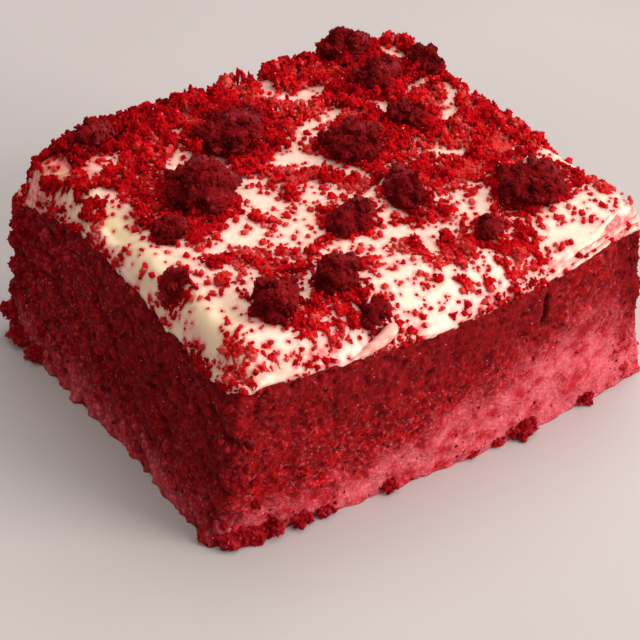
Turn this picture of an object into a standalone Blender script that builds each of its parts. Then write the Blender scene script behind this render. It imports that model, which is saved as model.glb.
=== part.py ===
"""Square piece of red velvet cake: a sponge block, a layer of frosting and cake crumbs on top.

Units are metres. +X runs along the front side, +Y away from it and +Z up. The origin is
the middle of the underside, which is flat.
"""

import math
import random

import bmesh
import bpy
from mathutils import Matrix, Vector, noise
from mathutils.bvhtree import BVHTree

MM = 0.001

# The block
LENGTH = 92.6 * MM
DEPTH = 81.3 * MM
SPONGE_HEIGHT = 34.7 * MM
FROSTING_THICKNESS = 6.6 * MM
CORNER_RADIUS = 3.6 * MM
GAP = 0.3 * MM

# How far each side bows out at its middle, and how far it spreads at the foot
LEFT_BOW, LEFT_FOOT = -1.4 * MM, 4.0 * MM
RIGHT_BOW, RIGHT_FOOT = 0.8 * MM, 3.6 * MM
FRONT_BOW, FRONT_FOOT = 3.6 * MM, -0.6 * MM
BACK_BOW, BACK_FOOT = 2.4 * MM, 0.8 * MM
FRONT_FOOT_TURN = 0.9 * MM
SIDE_POWER = 8
FOOT_POWER = 1.8
SIDE_BAND = 0.5

# Where the top of the sponge, level inside, leaves its height near the rim: the place in
# halves of the block, the change of height and how far it reaches along the rim
RIM_LEVEL_PART = 0.86
RIM_CHANGES = (
    (-1.0, 0.96, -3.6 * MM, 0.24),
    (-1.0, 0.22, 2.2 * MM, 0.26),
    (-1.0, -0.62, -1.6 * MM, 0.3),
    (-0.1, -1.0, -1.2 * MM, 0.35),
    (0.86, -1.0, 1.8 * MM, 0.22),
    (1.0, 0.3, -1.6 * MM, 0.3),
    (-0.35, 1.0, -1.8 * MM, 0.3),
    (0.5, 1.0, 1.4 * MM, 0.25),
)

# The frosting: thickness and lean of its edge, where its corner at the right end of the front
# starts to lean in more, breadth of its slopes and the waves of the knife
EDGE_THIN = 2.2 * MM
EDGE_THICK = 3.8 * MM
EDGE_SWELL = 0.5 * MM
EDGE_LEAN = 1.0 * MM
CORNER_LEAN = 2.0 * MM
CORNER_START, CORNER_SPAN = 1.65, 0.35
SIDE_SLOPE = 7.0 * MM
FRONT_SLOPE = 9.0 * MM
SLOPE_POWER = 2.2
WAVE_HEIGHT = 0.9 * MM
WAVE_LENGTH = 19 * MM
WAVE_STRETCH = 2.2
WAVE_TURN = math.radians(35)

# Cells of each surface
SPONGE_CELLS = (30, 27, 10)
FROSTING_CELLS = (30, 27, 2)

# Relief of the torn sponge: coarse crags and finer crumb
CRAG_HEIGHT, CRAG_SIZE = 0.9 * MM, 9 * MM
CRUMB_HEIGHT, CRUMB_SIZE = 0.75 * MM, 3.4 * MM
FOOT_CRUMBLE = 0.8 * MM

# Crumbs fused to the frosting, from the largest to the smallest
TOP_CRUMBS = 106
TOP_CRUMB_WIDTHS = (5.0 * MM, 2.0 * MM)
TOP_CRUMB_TRIES = 6000
BARE_FRONT = 0.16
CRUMB_SIDES, CRUMB_RINGS = 5, 4
CRUMB_CLEARANCE = 0.5 * MM
CRUMB_UNEVEN = (0.78, 1.18)
CRUMB_TIP = 0.6
TOP_STAND_OUT = 0.1
RIM_MARGIN = 2.4 * MM
TOP_SEED = 16

# Crumbs clinging to the foot: side, place along it from -1 to 1, width, height of the middle
FOOT_CRUMBS = (
    ("front", -0.97, 7.6 * MM, 1.3 * MM),
    ("front", -0.89, 7.0 * MM, 0.9 * MM),
    ("front", -0.8, 6.6 * MM, 1.5 * MM),
    ("front", -0.66, 4.6 * MM, 0.8 * MM),
    ("front", -0.3, 3.6 * MM, 1.3 * MM),
    ("front", 0.37, 7.0 * MM, 1.5 * MM),
    ("front", 0.72, 3.8 * MM, 0.8 * MM),
    ("left", -0.9, 5.0 * MM, 1.0 * MM),
    ("left", 0.7, 6.4 * MM, 1.6 * MM),
    ("left", 0.86, 7.6 * MM, 4.0 * MM),
    ("left", 0.96, 7.0 * MM, 9.5 * MM),
    ("right", -0.5, 4.4 * MM, 1.0 * MM),
    ("right", 0.7, 5.0 * MM, 1.2 * MM),
    ("back", -0.7, 6.0 * MM, 1.3 * MM),
    ("back", 0.3, 6.6 * MM, 1.4 * MM),
    ("back", 0.82, 5.0 * MM, 1.0 * MM),
)
FOOT_SEED = 5
FOOT_CLEARANCE = 0.08 * MM
FOOT_STAND_OUT = -0.1

# Clumps of crumb on the frosting: x, y, length, breadth, height and turn in degrees
CLUMPS = {
    "clump_tall": (-24.0, 5.6, 13.6, 11.6, 7.2, 20),
    "clump_mound": (-8.3, 20.4, 14.4, 12.2, 4.4, 30),
    "clump_front_left": (-31.0, -30.4, 11.4, 8.8, 4.3, 40),
    "clump_front_dark": (-18.0, -30.4, 9.6, 8.2, 5.2, 10),
    "clump_middle": (10.0, 4.8, 13.2, 10.0, 4.4, 40),
    "clump_back_dark": (27.8, 22.0, 10.4, 8.2, 4.8, 15),
    "clump_centre": (8.2, -14.8, 10.4, 6.8, 3.9, 75),
    "clump_centre_left": (-4.6, -15.6, 11.6, 7.0, 2.8, 20),
    "clump_right": (29.0, -26.2, 16.0, 12.4, 4.2, 35),
    "clump_right_low": (14.6, -32.6, 6.6, 5.0, 2.4, 20),
    "clump_back": (29.6, 35.6, 10.4, 8.0, 6.2, 0),
    "clump_back_right": (40.8, 22.8, 9.4, 6.8, 5.0, 80),
    "clump_back_mid": (25.8, 8.4, 8.2, 7.2, 3.8, 120),
    "clump_left": (-34.6, -0.6, 8.0, 6.2, 2.8, 35),
    "clump_left_low": (-41.8, -13.4, 7.4, 5.2, 2.4, 85),
    "clump_curl": (-16.2, -40.0, 6.8, 3.8, 3.4, 6),
    "clump_left_back": (-32.2, 34.0, 10.8, 7.0, 4.6, 5),
}
CLUMP_FINE_LENGTH = 13 * MM
CLUMP_FINE, CLUMP_COARSE = 3, 2
CLUMP_ROUGHNESS = 0.4
CLUMP_LUMP_SIZE = 0.55
CLUMP_CUT = 0.4
CLUMP_REACH = 1.2

# The curl of frosting pushed up at the front rim
CURL_PLACE = (-18.2 * MM, -43.2 * MM)
CURL_SIZE = (8.6 * MM, 2.0 * MM, 3.3 * MM)
CURL_TURN = math.radians(4)
CURL_LEAN = math.radians(-18)
CURL_RISE = 1.0 * MM


def clear_scene():
    for thing in list(bpy.data.objects):
        bpy.data.objects.remove(thing, do_unlink=True)


def material(name, colour, roughness):
    """Plain finish of one sub-part; the colour is linear."""
    made = bpy.data.materials.new(name)
    made.use_nodes = True
    shader = made.node_tree.nodes["Principled BSDF"]
    shader.inputs["Base Color"].default_value = (*colour, 1)
    shader.inputs["Roughness"].default_value = roughness
    shader.inputs["Metallic"].default_value = 0
    return made


def add_object(name, mesh, finish):
    """Object made of a bmesh, shaded smooth."""
    data = bpy.data.meshes.new(name)
    mesh.to_mesh(data)
    mesh.free()
    data.shade_smooth()
    data.materials.append(finish)
    made = bpy.data.objects.new(name, data)
    bpy.context.scene.collection.objects.link(made)
    return made


def smooth_step(value):
    value = min(max(value, 0.0), 1.0)
    return value * value * (3 - 2 * value)


def relief(place, size, seed):
    """Smooth noise from -1 to 1 whose lumps have this size."""
    return noise.noise(Vector(place) / size + Vector((seed, -seed, 2 * seed)))


def rounded(x, y):
    """The block's rectangle with its upright corners rounded."""
    core_x, core_y = LENGTH / 2 - CORNER_RADIUS, DEPTH / 2 - CORNER_RADIUS
    over = Vector((abs(x) - core_x, abs(y) - core_y))
    if min(over) <= 0:
        return x, y
    over *= max(over) / over.length
    return math.copysign(core_x + over.x, x), math.copysign(core_y + over.y, y)


def outline(u, v, z):
    """Place in plan of the point (u, v), in halves of the block, at height z."""
    x, y = rounded(u * LENGTH / 2, v * DEPTH / 2)
    spread = max(1 - z / SPONGE_HEIGHT, 0) ** FOOT_POWER
    bow_x, foot_x = (LEFT_BOW, LEFT_FOOT) if u < 0 else (RIGHT_BOW, RIGHT_FOOT)
    bow_y, foot_y = (FRONT_BOW, FRONT_FOOT) if v < 0 else (BACK_BOW, BACK_FOOT)
    foot_y += FRONT_FOOT_TURN * u * (v < 0)
    out_x = bow_x * (1 - v * v) + foot_x * spread
    out_y = bow_y * (1 - u * u) + foot_y * spread
    x += math.copysign(abs(u) ** SIDE_POWER, u) * out_x
    y += math.copysign(abs(v) ** SIDE_POWER, v) * out_y
    return x, y


def seam_height(u, v):
    """Height of the sponge's top, where the frosting lies on it."""
    rim = smooth_step((max(abs(u), abs(v)) - RIM_LEVEL_PART) / (1 - RIM_LEVEL_PART))
    change = sum(
        height * math.exp(-(((u - at_u) / reach) ** 2) - ((v - at_v) / reach) ** 2)
        for at_u, at_v, height, reach in RIM_CHANGES
    )
    return SPONGE_HEIGHT + rim * change


def frosting_height(u, v):
    """Height of the frosting's top: knife waves inside, rounded down to a thin edge."""
    x, y = u * LENGTH / 2, v * DEPTH / 2
    turned = Matrix.Rotation(WAVE_TURN, 2) @ Vector((x, y))
    wave = relief((turned.x / WAVE_STRETCH, turned.y, 0), WAVE_LENGTH, 3)
    plateau = SPONGE_HEIGHT + FROSTING_THICKNESS + WAVE_HEIGHT * wave
    slope_y = FRONT_SLOPE if v < 0 else SIDE_SLOPE
    over_x = max(abs(x) - (LENGTH / 2 - SIDE_SLOPE), 0) / SIDE_SLOPE
    over_y = max(abs(y) - (DEPTH / 2 - slope_y), 0) / slope_y
    over = min(math.hypot(over_x, over_y), 1)
    edge = EDGE_THIN + (EDGE_THICK - EDGE_THIN) * (u * v) ** 2
    fall = over**SLOPE_POWER
    return plateau + (seam_height(u, v) + edge - plateau) * fall


def box_surface(cells):
    """Closed box from (-1, -1, 0) to (1, 1, 1), each axis divided into its number of cells."""
    mesh = bmesh.new()
    bmesh.ops.create_cube(mesh, size=2)
    for vert in mesh.verts:
        vert.co.z = (vert.co.z + 1) / 2
    for axis, count in enumerate(cells):
        along = [
            edge for edge in mesh.edges if edge.verts[0].co[axis] != edge.verts[1].co[axis]
        ]
        bmesh.ops.subdivide_edges(mesh, edges=along, cuts=count - 1, use_grid_fill=True)
    return mesh


def level_faces(mesh, height, inside):
    """The faces at one lattice height whose corners all lie inside this part of the block."""
    return [
        face
        for face in mesh.faces
        if all(
            math.isclose(vert.co.z, height, abs_tol=GAP)
            and max(abs(vert.co.x), abs(vert.co.y)) <= inside
            for vert in face.verts
        )
    ]


def outward(u, v):
    """Sideways direction out of the block at a lattice point, nothing well inside."""
    side = Vector((math.copysign(abs(u) ** SIDE_POWER, u), math.copysign(abs(v) ** SIDE_POWER, v)))
    return side.normalized() if side.length > SIDE_BAND else Vector((0, 0))


def sponge_point(u, v, w):
    """Point of the sponge's surface, with the relief of its torn crumb on the sides."""
    z = seam_height(u, v) * w
    x, y = outline(u, v, z)
    crags = CRAG_HEIGHT * relief((x, y, z), CRAG_SIZE, 1)
    crumb = CRUMB_HEIGHT * relief((x, y, z), CRUMB_SIZE, 2)
    crumble = FOOT_CRUMBLE * abs(relief((x, y, 0), CRUMB_SIZE, 7)) * (w == 0)
    push = outward(u, v) * (crags + crumb + crumble) * (w < 1)
    return x + push.x, y + push.y, z


def edge_lean(u, v):
    """How far the frosting's top edge leans inwards."""
    corner = smooth_step((u - v - CORNER_START) / CORNER_SPAN)
    return EDGE_LEAN + CORNER_LEAN * corner


def frosting_point(u, v, w):
    """Point of the frosting's surface, whose edge swells over the sponge."""
    under = seam_height(u, v) + GAP
    z = under + (frosting_height(u, v) - under) * w
    x, y = outline(u, v, z)
    push = outward(u, v) * (EDGE_SWELL * math.sin(math.pi * w) - edge_lean(u, v) * w)
    return x + push.x, y + push.y, z


def shaped_block(cells, flat_caps, point):
    """Closed surface of the block's kind, each lattice point moved to its place."""
    mesh = box_surface(cells)
    for height, inside in flat_caps:
        faces = level_faces(mesh, height, inside)
        bmesh.ops.dissolve_faces(mesh, faces=faces, use_verts=True)
    for vert in mesh.verts:
        vert.co = point(*vert.co)
    return mesh


def surface_of(thing):
    """The object's surface, for finding points on it."""
    mesh = bmesh.new()
    mesh.from_mesh(thing.data)
    tree = BVHTree.FromBMesh(mesh)
    mesh.free()
    return tree


def height_at(surface, x, y):
    """Height of the surface straight below this place, or nothing beside it."""
    hit = surface.ray_cast(Vector((x, y, 1)), Vector((0, 0, -1)))[0]
    return hit.z if hit else None


def clump(name, sizes, surface, seed, finish):
    """Rough lump of crumb whose underside follows the frosting, a gap above it."""
    x, y, length, breadth, height = (size * MM for size in sizes[:5])
    turn = Matrix.Rotation(math.radians(sizes[5]), 2)
    mesh = bmesh.new()
    detail = CLUMP_FINE if length >= CLUMP_FINE_LENGTH else CLUMP_COARSE
    bmesh.ops.create_icosphere(mesh, subdivisions=detail, radius=1)
    for vert in mesh.verts:
        rough = 1 + CLUMP_ROUGHNESS * relief(vert.co, CLUMP_LUMP_SIZE, seed)
        across = vert.co * rough
        plan = turn @ Vector((across.x * length / 2, across.y * breadth / 2))
        rise = max(across.z + CLUMP_CUT, 0) / (1 + CLUMP_CUT)
        place = Vector((x, y)) + plan
        ground = height_at(surface, *place)
        vert.co = (*place, ground + GAP + rise * height)
    return add_object(name, mesh, finish)


def crumb(centre, width, draw, lowest):
    """Small angular crumb, as a bmesh: a squashed ball with uneven corners."""
    mesh = bmesh.new()
    bmesh.ops.create_uvsphere(
        mesh, u_segments=CRUMB_SIDES, v_segments=CRUMB_RINGS, radius=width / 2
    )
    turn = Matrix.Rotation(draw.uniform(0, math.tau), 3, "Z")
    tip = Matrix.Rotation(draw.uniform(-CRUMB_TIP, CRUMB_TIP), 3, "X")
    for vert in mesh.verts:
        uneven = Vector([draw.uniform(*CRUMB_UNEVEN) for _ in range(3)])
        vert.co = centre + turn @ (tip @ (vert.co * uneven))
        vert.co.z = max(vert.co.z, lowest)
    return mesh


def frosting_crumbs(surface):
    """Crumbs half sunk in the frosting, more of them towards the back, clear of the clumps."""
    draw = random.Random(TOP_SEED)
    taken = [
        (x * MM, y * MM, max(length, breadth) * MM * CLUMP_REACH / 2)
        for x, y, length, breadth, _, _ in CLUMPS.values()
    ]
    made = []
    for _ in range(TOP_CRUMB_TRIES):
        if len(made) == TOP_CRUMBS:
            break
        u, v = draw.uniform(-1, 1), draw.uniform(-1, 1)
        crowding = smooth_step((1 + v + u / 2) / 2)
        if draw.random() > BARE_FRONT + crowding:
            continue
        large, small = TOP_CRUMB_WIDTHS
        width = large * (small / large) ** (len(made) / TOP_CRUMBS)
        x = u * (LENGTH / 2 - RIM_MARGIN)
        y = v * (DEPTH / 2 - RIM_MARGIN)
        room = width / 2 * CRUMB_UNEVEN[1] + CRUMB_CLEARANCE
        if any(math.hypot(x - a, y - b) < r + room for a, b, r in taken):
            continue
        taken.append((x, y, width / 2))
        centre = Vector((x, y, height_at(surface, x, y) + TOP_STAND_OUT * width))
        made.append(crumb(centre, width, draw, 0))
    return made


def foot_crumbs():
    """Crumbs hanging on to the sides, most of them at the foot."""
    draw = random.Random(FOOT_SEED)
    made = []
    for side, along, width, middle in FOOT_CRUMBS:
        u, v = {
            "front": (along, -1),
            "back": (along, 1),
            "left": (-1, along),
            "right": (1, along),
        }[side]
        x, y = outline(u, v, middle)
        centre = Vector((x, y, middle)) + outward(u, v).to_3d() * FOOT_STAND_OUT * width
        made.append(crumb(centre, width, draw, FOOT_CLEARANCE))
    return made


def curl(surface):
    """Tongue of frosting that the knife pushed up at the rim."""
    mesh = bmesh.new()
    bmesh.ops.create_icosphere(mesh, subdivisions=2, radius=0.5)
    x, y = CURL_PLACE
    place = Matrix.Translation((x, y, height_at(surface, x, y) + CURL_RISE))
    turn = Matrix.Rotation(CURL_TURN, 4, "Z") @ Matrix.Rotation(CURL_LEAN, 4, "X")
    mesh.transform(place @ turn @ Matrix.Diagonal((*CURL_SIZE, 1)))
    return mesh


def fuse(body, lumps, finish):
    """Joins the lumps to the body by one union, drops loose scraps and keeps one closed body."""
    group = bpy.data.collections.new("lumps")
    bpy.context.scene.collection.children.link(group)
    for index, lump in enumerate(lumps):
        made = add_object(f"lump_{index}", lump, finish)
        bpy.context.scene.collection.objects.unlink(made)
        group.objects.link(made)
    union = body.modifiers.new("union", "BOOLEAN")
    union.operation = "UNION"
    union.operand_type = "COLLECTION"
    union.collection = group
    union.solver = "MANIFOLD"
    with bpy.context.temp_override(object=body, active_object=body):
        bpy.ops.object.modifier_apply(modifier=union.name)
    for made in list(group.objects):
        bpy.data.objects.remove(made, do_unlink=True)
    bpy.data.collections.remove(group)
    keep_largest_shell(body.data)


def keep_largest_shell(data):
    """Removes every shell of the mesh but the one with the most faces."""
    mesh = bmesh.new()
    mesh.from_mesh(data)
    left = set(mesh.faces)
    shells = []
    while left:
        front = [left.pop()]
        shell = list(front)
        while front:
            near = {near for edge in front.pop().edges for near in edge.link_faces} & left
            left -= near
            front.extend(near)
            shell.extend(near)
        shells.append(shell)
    shells.sort(key=len)
    scraps = [face for shell in shells[:-1] for face in shell]
    bmesh.ops.delete(mesh, geom=scraps, context="FACES")
    mesh.to_mesh(data)
    mesh.free()
    data.shade_smooth()


def build():
    clear_scene()
    sponge_red = material("sponge_crumb", (0.23, 0.012, 0.016), 0.85)
    frosting_cream = material("frosting_cream", (0.84, 0.74, 0.55), 0.45)
    crumb_red = material("crumb_red", (0.3, 0.008, 0.012), 0.85)

    caps = ((0, 1), (1, RIM_LEVEL_PART))
    sponge = add_object("sponge", shaped_block(SPONGE_CELLS, caps, sponge_point), sponge_red)
    caps = ((0, RIM_LEVEL_PART),)
    frosting = add_object(
        "frosting", shaped_block(FROSTING_CELLS, caps, frosting_point), frosting_cream
    )
    surface = surface_of(frosting)
    for seed, (name, sizes) in enumerate(CLUMPS.items(), start=1):
        clump(name, sizes, surface, seed, crumb_red)
    fuse(frosting, [*frosting_crumbs(surface), curl(surface)], frosting_cream)
    fuse(sponge, foot_crumbs(), sponge_red)


build()
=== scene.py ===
# %% [markdown]
# # A square of red velvet cake
#
# This lesson dresses a square of cake that was cut from a tray: a deep red sponge about 35 mm
# high, 6 to 7 mm of cream frosting spread with a knife, and cake crumbs strewn over it.
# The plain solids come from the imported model. They say where everything is and how large it
# is, and each one is replaced here by a piece in the same place that looks like food.
# Sizes are metres, +X runs along the front side, +Y away from it and +Z up.

import math

import bmesh
import bpy
import numpy as np
from mathutils import Matrix, Vector, noise
from mathutils.bvhtree import BVHTree
from mathutils.kdtree import KDTree


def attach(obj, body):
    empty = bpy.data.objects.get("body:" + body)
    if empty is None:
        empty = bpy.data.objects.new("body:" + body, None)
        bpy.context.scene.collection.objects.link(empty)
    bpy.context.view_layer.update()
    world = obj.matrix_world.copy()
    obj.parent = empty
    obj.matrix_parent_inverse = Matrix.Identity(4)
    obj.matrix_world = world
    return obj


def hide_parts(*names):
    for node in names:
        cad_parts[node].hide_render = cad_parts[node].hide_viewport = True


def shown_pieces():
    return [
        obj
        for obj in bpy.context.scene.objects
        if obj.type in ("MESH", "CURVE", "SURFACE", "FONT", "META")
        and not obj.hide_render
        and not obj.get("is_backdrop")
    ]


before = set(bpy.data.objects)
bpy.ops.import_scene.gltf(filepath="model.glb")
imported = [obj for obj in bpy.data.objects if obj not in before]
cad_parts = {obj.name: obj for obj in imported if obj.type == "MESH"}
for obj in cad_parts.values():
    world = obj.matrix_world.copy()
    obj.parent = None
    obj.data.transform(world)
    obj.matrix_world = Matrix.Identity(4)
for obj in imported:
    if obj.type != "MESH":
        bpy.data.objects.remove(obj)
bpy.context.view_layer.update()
MM = 0.001

# %% [markdown]
# ## The camera
#
# A lens can be found from a photograph when straight edges of known direction show in it. The
# two rims of the block and its upright corner gave this place and these directions. The lens
# is long, 124 mm on a 36 mm sensor, so the block's sides hardly draw together.

# %% Place the camera
CAMERA_PLACE = Vector((-201.87, -291.63, 267.35)) * MM
CAMERA_RIGHT = Vector((0.828169, -0.560324, 0.013145))
CAMERA_UP = Vector((0.322670, 0.495827, 0.806250))
CAMERA_BACK = Vector((-0.458279, -0.663470, 0.591428))
LENS, SENSOR = 123.75, 36.0


def in_scene(name, data):
    """New object with this data, put into the scene."""
    made = bpy.data.objects.new(name, data)
    bpy.context.scene.collection.objects.link(made)
    return made


lens = bpy.data.cameras.new("camera")
lens.lens, lens.sensor_width = LENS, SENSOR
lens.clip_start, lens.clip_end = 10 * MM, 10
camera = in_scene("camera", lens)
turn = Matrix((CAMERA_RIGHT, CAMERA_UP, CAMERA_BACK)).transposed()
camera.matrix_world = Matrix.Translation(CAMERA_PLACE) @ turn.to_4x4()
bpy.context.scene.camera = camera
print("camera at", [round(c / MM, 1) for c in CAMERA_PLACE], "mm")

# %% [markdown]
# ## Colours and nodes
#
# Colours are picked as sRGB hex values, as a colour picker shows them, and shaders want linear
# light, so one function turns one into the other. Shader and geometry trees are both made of
# nodes. One function adds a node with its settings and links, and a few short ones built on it
# name what is wanted: a sum, a cloud of noise, a new material.

# %% Colours and nodes
def linear(hex_colour):
    """The linear RGBA colour of an sRGB hex value such as 'c8102e'."""
    parts = [int(hex_colour[i : i + 2], 16) / 255 for i in (0, 2, 4)]
    return [((c + 0.055) / 1.055) ** 2.4 if c > 0.04045 else c / 12.92 for c in parts] + [1.0]


def add(tree, kind, links=None, **settings):
    """Adds a node. Links go from socket name or number to a value or to another socket."""
    node = tree.nodes.new(kind)
    for name, value in settings.items():
        setattr(node, name, value)
    for socket, value in (links or {}).items():
        if isinstance(value, bpy.types.NodeSocket):
            tree.links.new(value, node.inputs[socket])
        else:
            node.inputs[socket].default_value = value
    return node


def maths(tree, operation, *values, **settings):
    """Result of a math node, whose values are numbers or sockets."""
    links = dict(enumerate(values))
    return add(tree, "ShaderNodeMath", links, operation=operation, **settings).outputs[0]


def ramp(tree, factor, stops):
    """Colour ramp from (place, hex colour) stops."""
    node = add(tree, "ShaderNodeValToRGB", {"Fac": factor})
    elements = node.color_ramp.elements
    for index, (place, hex_colour) in enumerate(stops):
        element = elements[index] if index < 2 else elements.new(place)
        element.position = place
        element.color = linear(hex_colour)
    return node.outputs["Color"]


def cloud_of(tree, place, size, detail=3.0):
    """Noise whose lumps have this size."""
    links = {"Vector": place, "Scale": 1 / size, "Detail": detail}
    return add(tree, "ShaderNodeTexNoise", links).outputs["Fac"]


def finish_of(name, **values):
    """New material with these values on its shader; gives it, its tree, shader and place."""
    made = bpy.data.materials.new(name)
    made.use_nodes = True
    shader = made.node_tree.nodes["Principled BSDF"]
    for socket, value in values.items():
        shader.inputs[socket.replace("_", " ")].default_value = value
    place = add(made.node_tree, "ShaderNodeTexCoord").outputs["Object"]
    return made, made.node_tree, shader, place


print("a red of c8102e is", [round(c, 3) for c in linear("c8102e")])

# %% [markdown]
# ## Light and floor
#
# Three soft lights make one calm room. A window in front and to the right lights the front
# side and leaves the left side in shade, a broad panel overhead lights the top and the floor,
# and a pale wall at the left keeps the shaded side from going black. A faint world fills what
# is left. The floor isn't part of the cake.
# The view transform is Standard, because the filmic one takes the depth out of strong reds.

# %% Set the lights, the world and the floor
WORLD_STRENGTH = 0.2
FLOOR_HALF, FLOOR_DROP, FLOOR_PATCH = 2, 0.1 * MM, 1 / 9


def soft_light(name, direction, distance, size, power, colour):
    """Square light this far away in this direction, turned to the cake."""
    made = bpy.data.lights.new(name, "AREA")
    made.shape = "SQUARE"
    made.size = size
    made.energy = power
    made.color = linear(colour)[:3]
    holder = in_scene(name, made)
    holder.location = direction.normalized() * distance
    holder.rotation_euler = direction.to_track_quat("Z", "Y").to_euler()


soft_light("window", Vector((0.55, -0.72, 0.42)), 1.6, 0.9, 31, "fffaf4")
soft_light("panel", Vector((0.45, 0.1, 1.0)), 1.2, 1.3, 14, "fffcf8")
soft_light("pale wall", Vector((-0.7, -0.4, 1.0)), 1.5, 1.5, 7.5, "fff8f2")

world = bpy.data.worlds.new("pale room")
world.use_nodes = True
world.node_tree.nodes["Background"].inputs["Color"].default_value = linear("f4f1ee")
world.node_tree.nodes["Background"].inputs["Strength"].default_value = WORLD_STRENGTH
bpy.context.scene.world = world
bpy.context.scene.view_settings.view_transform = "Standard"

floor_mesh = bpy.data.meshes.new("floor")
floor_corners = [(x * FLOOR_HALF, y * FLOOR_HALF) for x, y in ((-1, -1), (1, -1), (1, 1), (-1, 1))]
floor_mesh.from_pydata([(x, y, -FLOOR_DROP) for x, y in floor_corners], [], [(0, 1, 2, 3)])
floor = in_scene("floor", floor_mesh)
floor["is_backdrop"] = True

glaze, tree, shader, place = finish_of("pale floor", Roughness=0.55)
patch = cloud_of(tree, place, FLOOR_PATCH, 2.0)
shade = ramp(tree, patch, [(0.3, "b0a9a8"), (0.7, "b6afae")])
tree.links.new(shade, shader.inputs["Base Color"])
floor_mesh.materials.append(glaze)
print("three soft lights and a world of", WORLD_STRENGTH)

# %% [markdown]
# ## The rules of the block's shape
#
# The block isn't a box: it was cut with a knife, spreads towards its foot and bows out at the
# front, and the frosting falls in a soft slope to a thin edge. The solids follow rules for
# this, and the same rules are repeated here, so that the fine pieces lie where the solids are.
# Only what the solids leave out is new: the seam is ragged, and the cream's edge and its
# corner lean a little more. u and v run from -1 to 1 across the block, w from 0 to 1 up it.

# %% The block's outline
LENGTH, DEPTH = 92.6 * MM, 81.3 * MM
SPONGE_HEIGHT, FROSTING_THICKNESS = 34.7 * MM, 6.6 * MM
CORNER_RADIUS = 2.4 * MM
LEFT_BOW, LEFT_FOOT = -1.4 * MM, 4.0 * MM
RIGHT_BOW, RIGHT_FOOT = 0.8 * MM, 3.6 * MM
FRONT_BOW, FRONT_FOOT = 3.6 * MM, -0.6 * MM
BACK_BOW, BACK_FOOT = 2.4 * MM, 0.8 * MM
FRONT_FOOT_TURN = 0.9 * MM
SIDE_POWER, FOOT_POWER, SIDE_BAND = 8, 1.8, 0.5
LEFT_START = 0.9


def smooth_step(value):
    value = np.clip(value, 0.0, 1.0)
    return value * value * (3 - 2 * value)


def rising(value, start, span):
    """0 up to the start, then softly up to 1 within the span."""
    return smooth_step((value - start) / span)


def relief(points, size, seed):
    """Smooth noise from -1 to 1 at each point, whose lumps have this size."""
    shift = Vector((seed, -seed, 2 * seed))
    return np.array([noise.noise(Vector(point) / size + shift) for point in points.tolist()])


def plan_relief(x, y, size, seed):
    """The same noise at the places (x, y) alone, whatever their height."""
    return relief(np.column_stack([x, y, 0 * x]), size, seed)


def rounded(x, y):
    """The block's rectangle with its upright corners rounded."""
    core_x, core_y = LENGTH / 2 - CORNER_RADIUS, DEPTH / 2 - CORNER_RADIUS
    over_x, over_y = np.abs(x) - core_x, np.abs(y) - core_y
    corner = (over_x > 0) & (over_y > 0)
    pull = np.maximum(over_x, over_y) / np.maximum(np.hypot(over_x, over_y), 1e-9)
    return (
        np.where(corner, np.sign(x) * (core_x + over_x * pull), x),
        np.where(corner, np.sign(y) * (core_y + over_y * pull), y),
    )


def at_side(share):
    """-1 or 1 at a side of the block, nothing well inside it."""
    return np.abs(share) ** SIDE_POWER * np.sign(share)


def outline(u, v, z):
    """Place in plan of the point (u, v) at height z."""
    x, y = rounded(u * LENGTH / 2, v * DEPTH / 2)
    spread = np.maximum(1 - z / SPONGE_HEIGHT, 0) ** FOOT_POWER
    bow_x, foot_x = np.where(u < 0, LEFT_BOW, RIGHT_BOW), np.where(u < 0, LEFT_FOOT, RIGHT_FOOT)
    bow_y, foot_y = np.where(v < 0, FRONT_BOW, BACK_BOW), np.where(v < 0, FRONT_FOOT, BACK_FOOT)
    foot_y = foot_y + FRONT_FOOT_TURN * u * (v < 0)
    out_x = bow_x * (1 - v * v) + foot_x * spread
    out_y = bow_y * (1 - u * u) + foot_y * spread
    return x + at_side(u) * out_x, y + at_side(v) * out_y


def outward(u, v):
    """Sideways direction out of the block, nothing well inside it."""
    side = np.column_stack([at_side(u), at_side(v)])
    length = np.linalg.norm(side, axis=1, keepdims=True)
    return np.where(length > SIDE_BAND, side / np.maximum(length, 1e-9), 0)


def rimward(u, v):
    """How far out a place lies: 0 in the middle, 1 at the rim."""
    return np.maximum(np.abs(u), np.abs(v))


def left_part(u, span=0.08):
    """1 on the left side, and nothing farther in than LEFT_START."""
    return smooth_step((-u - LEFT_START) / span)


print("block in mm", LENGTH / MM, DEPTH / MM, SPONGE_HEIGHT / MM)

# %% The seam under the frosting and the frosting's top
RIM_LEVEL_PART, TOP_TORN_PART = 0.86, 0.965
# Where the seam rises or dips: u, v, how much and how far round
RIM_CHANGES = (
    (-1.0, 0.96, -3.6 * MM, 0.24),
    (-1.0, 0.22, 2.2 * MM, 0.26),
    (-1.0, -0.62, -1.6 * MM, 0.3),
    (-0.1, -1.0, -1.2 * MM, 0.35),
    (0.86, -1.0, 1.8 * MM, 0.22),
    (1.0, 0.3, -1.6 * MM, 0.3),
    (-0.35, 1.0, -1.8 * MM, 0.3),
    (0.5, 1.0, 1.4 * MM, 0.25),
)
SEAM_RAGGED, SEAM_RAGGED_SIZE, LEFT_TORN = 0.55 * MM, 2.6 * MM, 1.0
EDGE_THIN, EDGE_THICK = 1.1 * MM, 4.6 * MM
EDGE_LEAN, CORNER_LEAN = 0.4 * MM, 2.4 * MM
CORNER_START, CORNER_SPAN = 1.65, 0.35
SIDE_SLOPE, FRONT_SLOPE, SLOPE_POWER = 7.0 * MM, 9.0 * MM, 2.2
WAVE_HEIGHT, WAVE_LENGTH, WAVE_STRETCH, WAVE_TURN = 0.9 * MM, 19 * MM, 2.2, math.radians(35)


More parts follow.
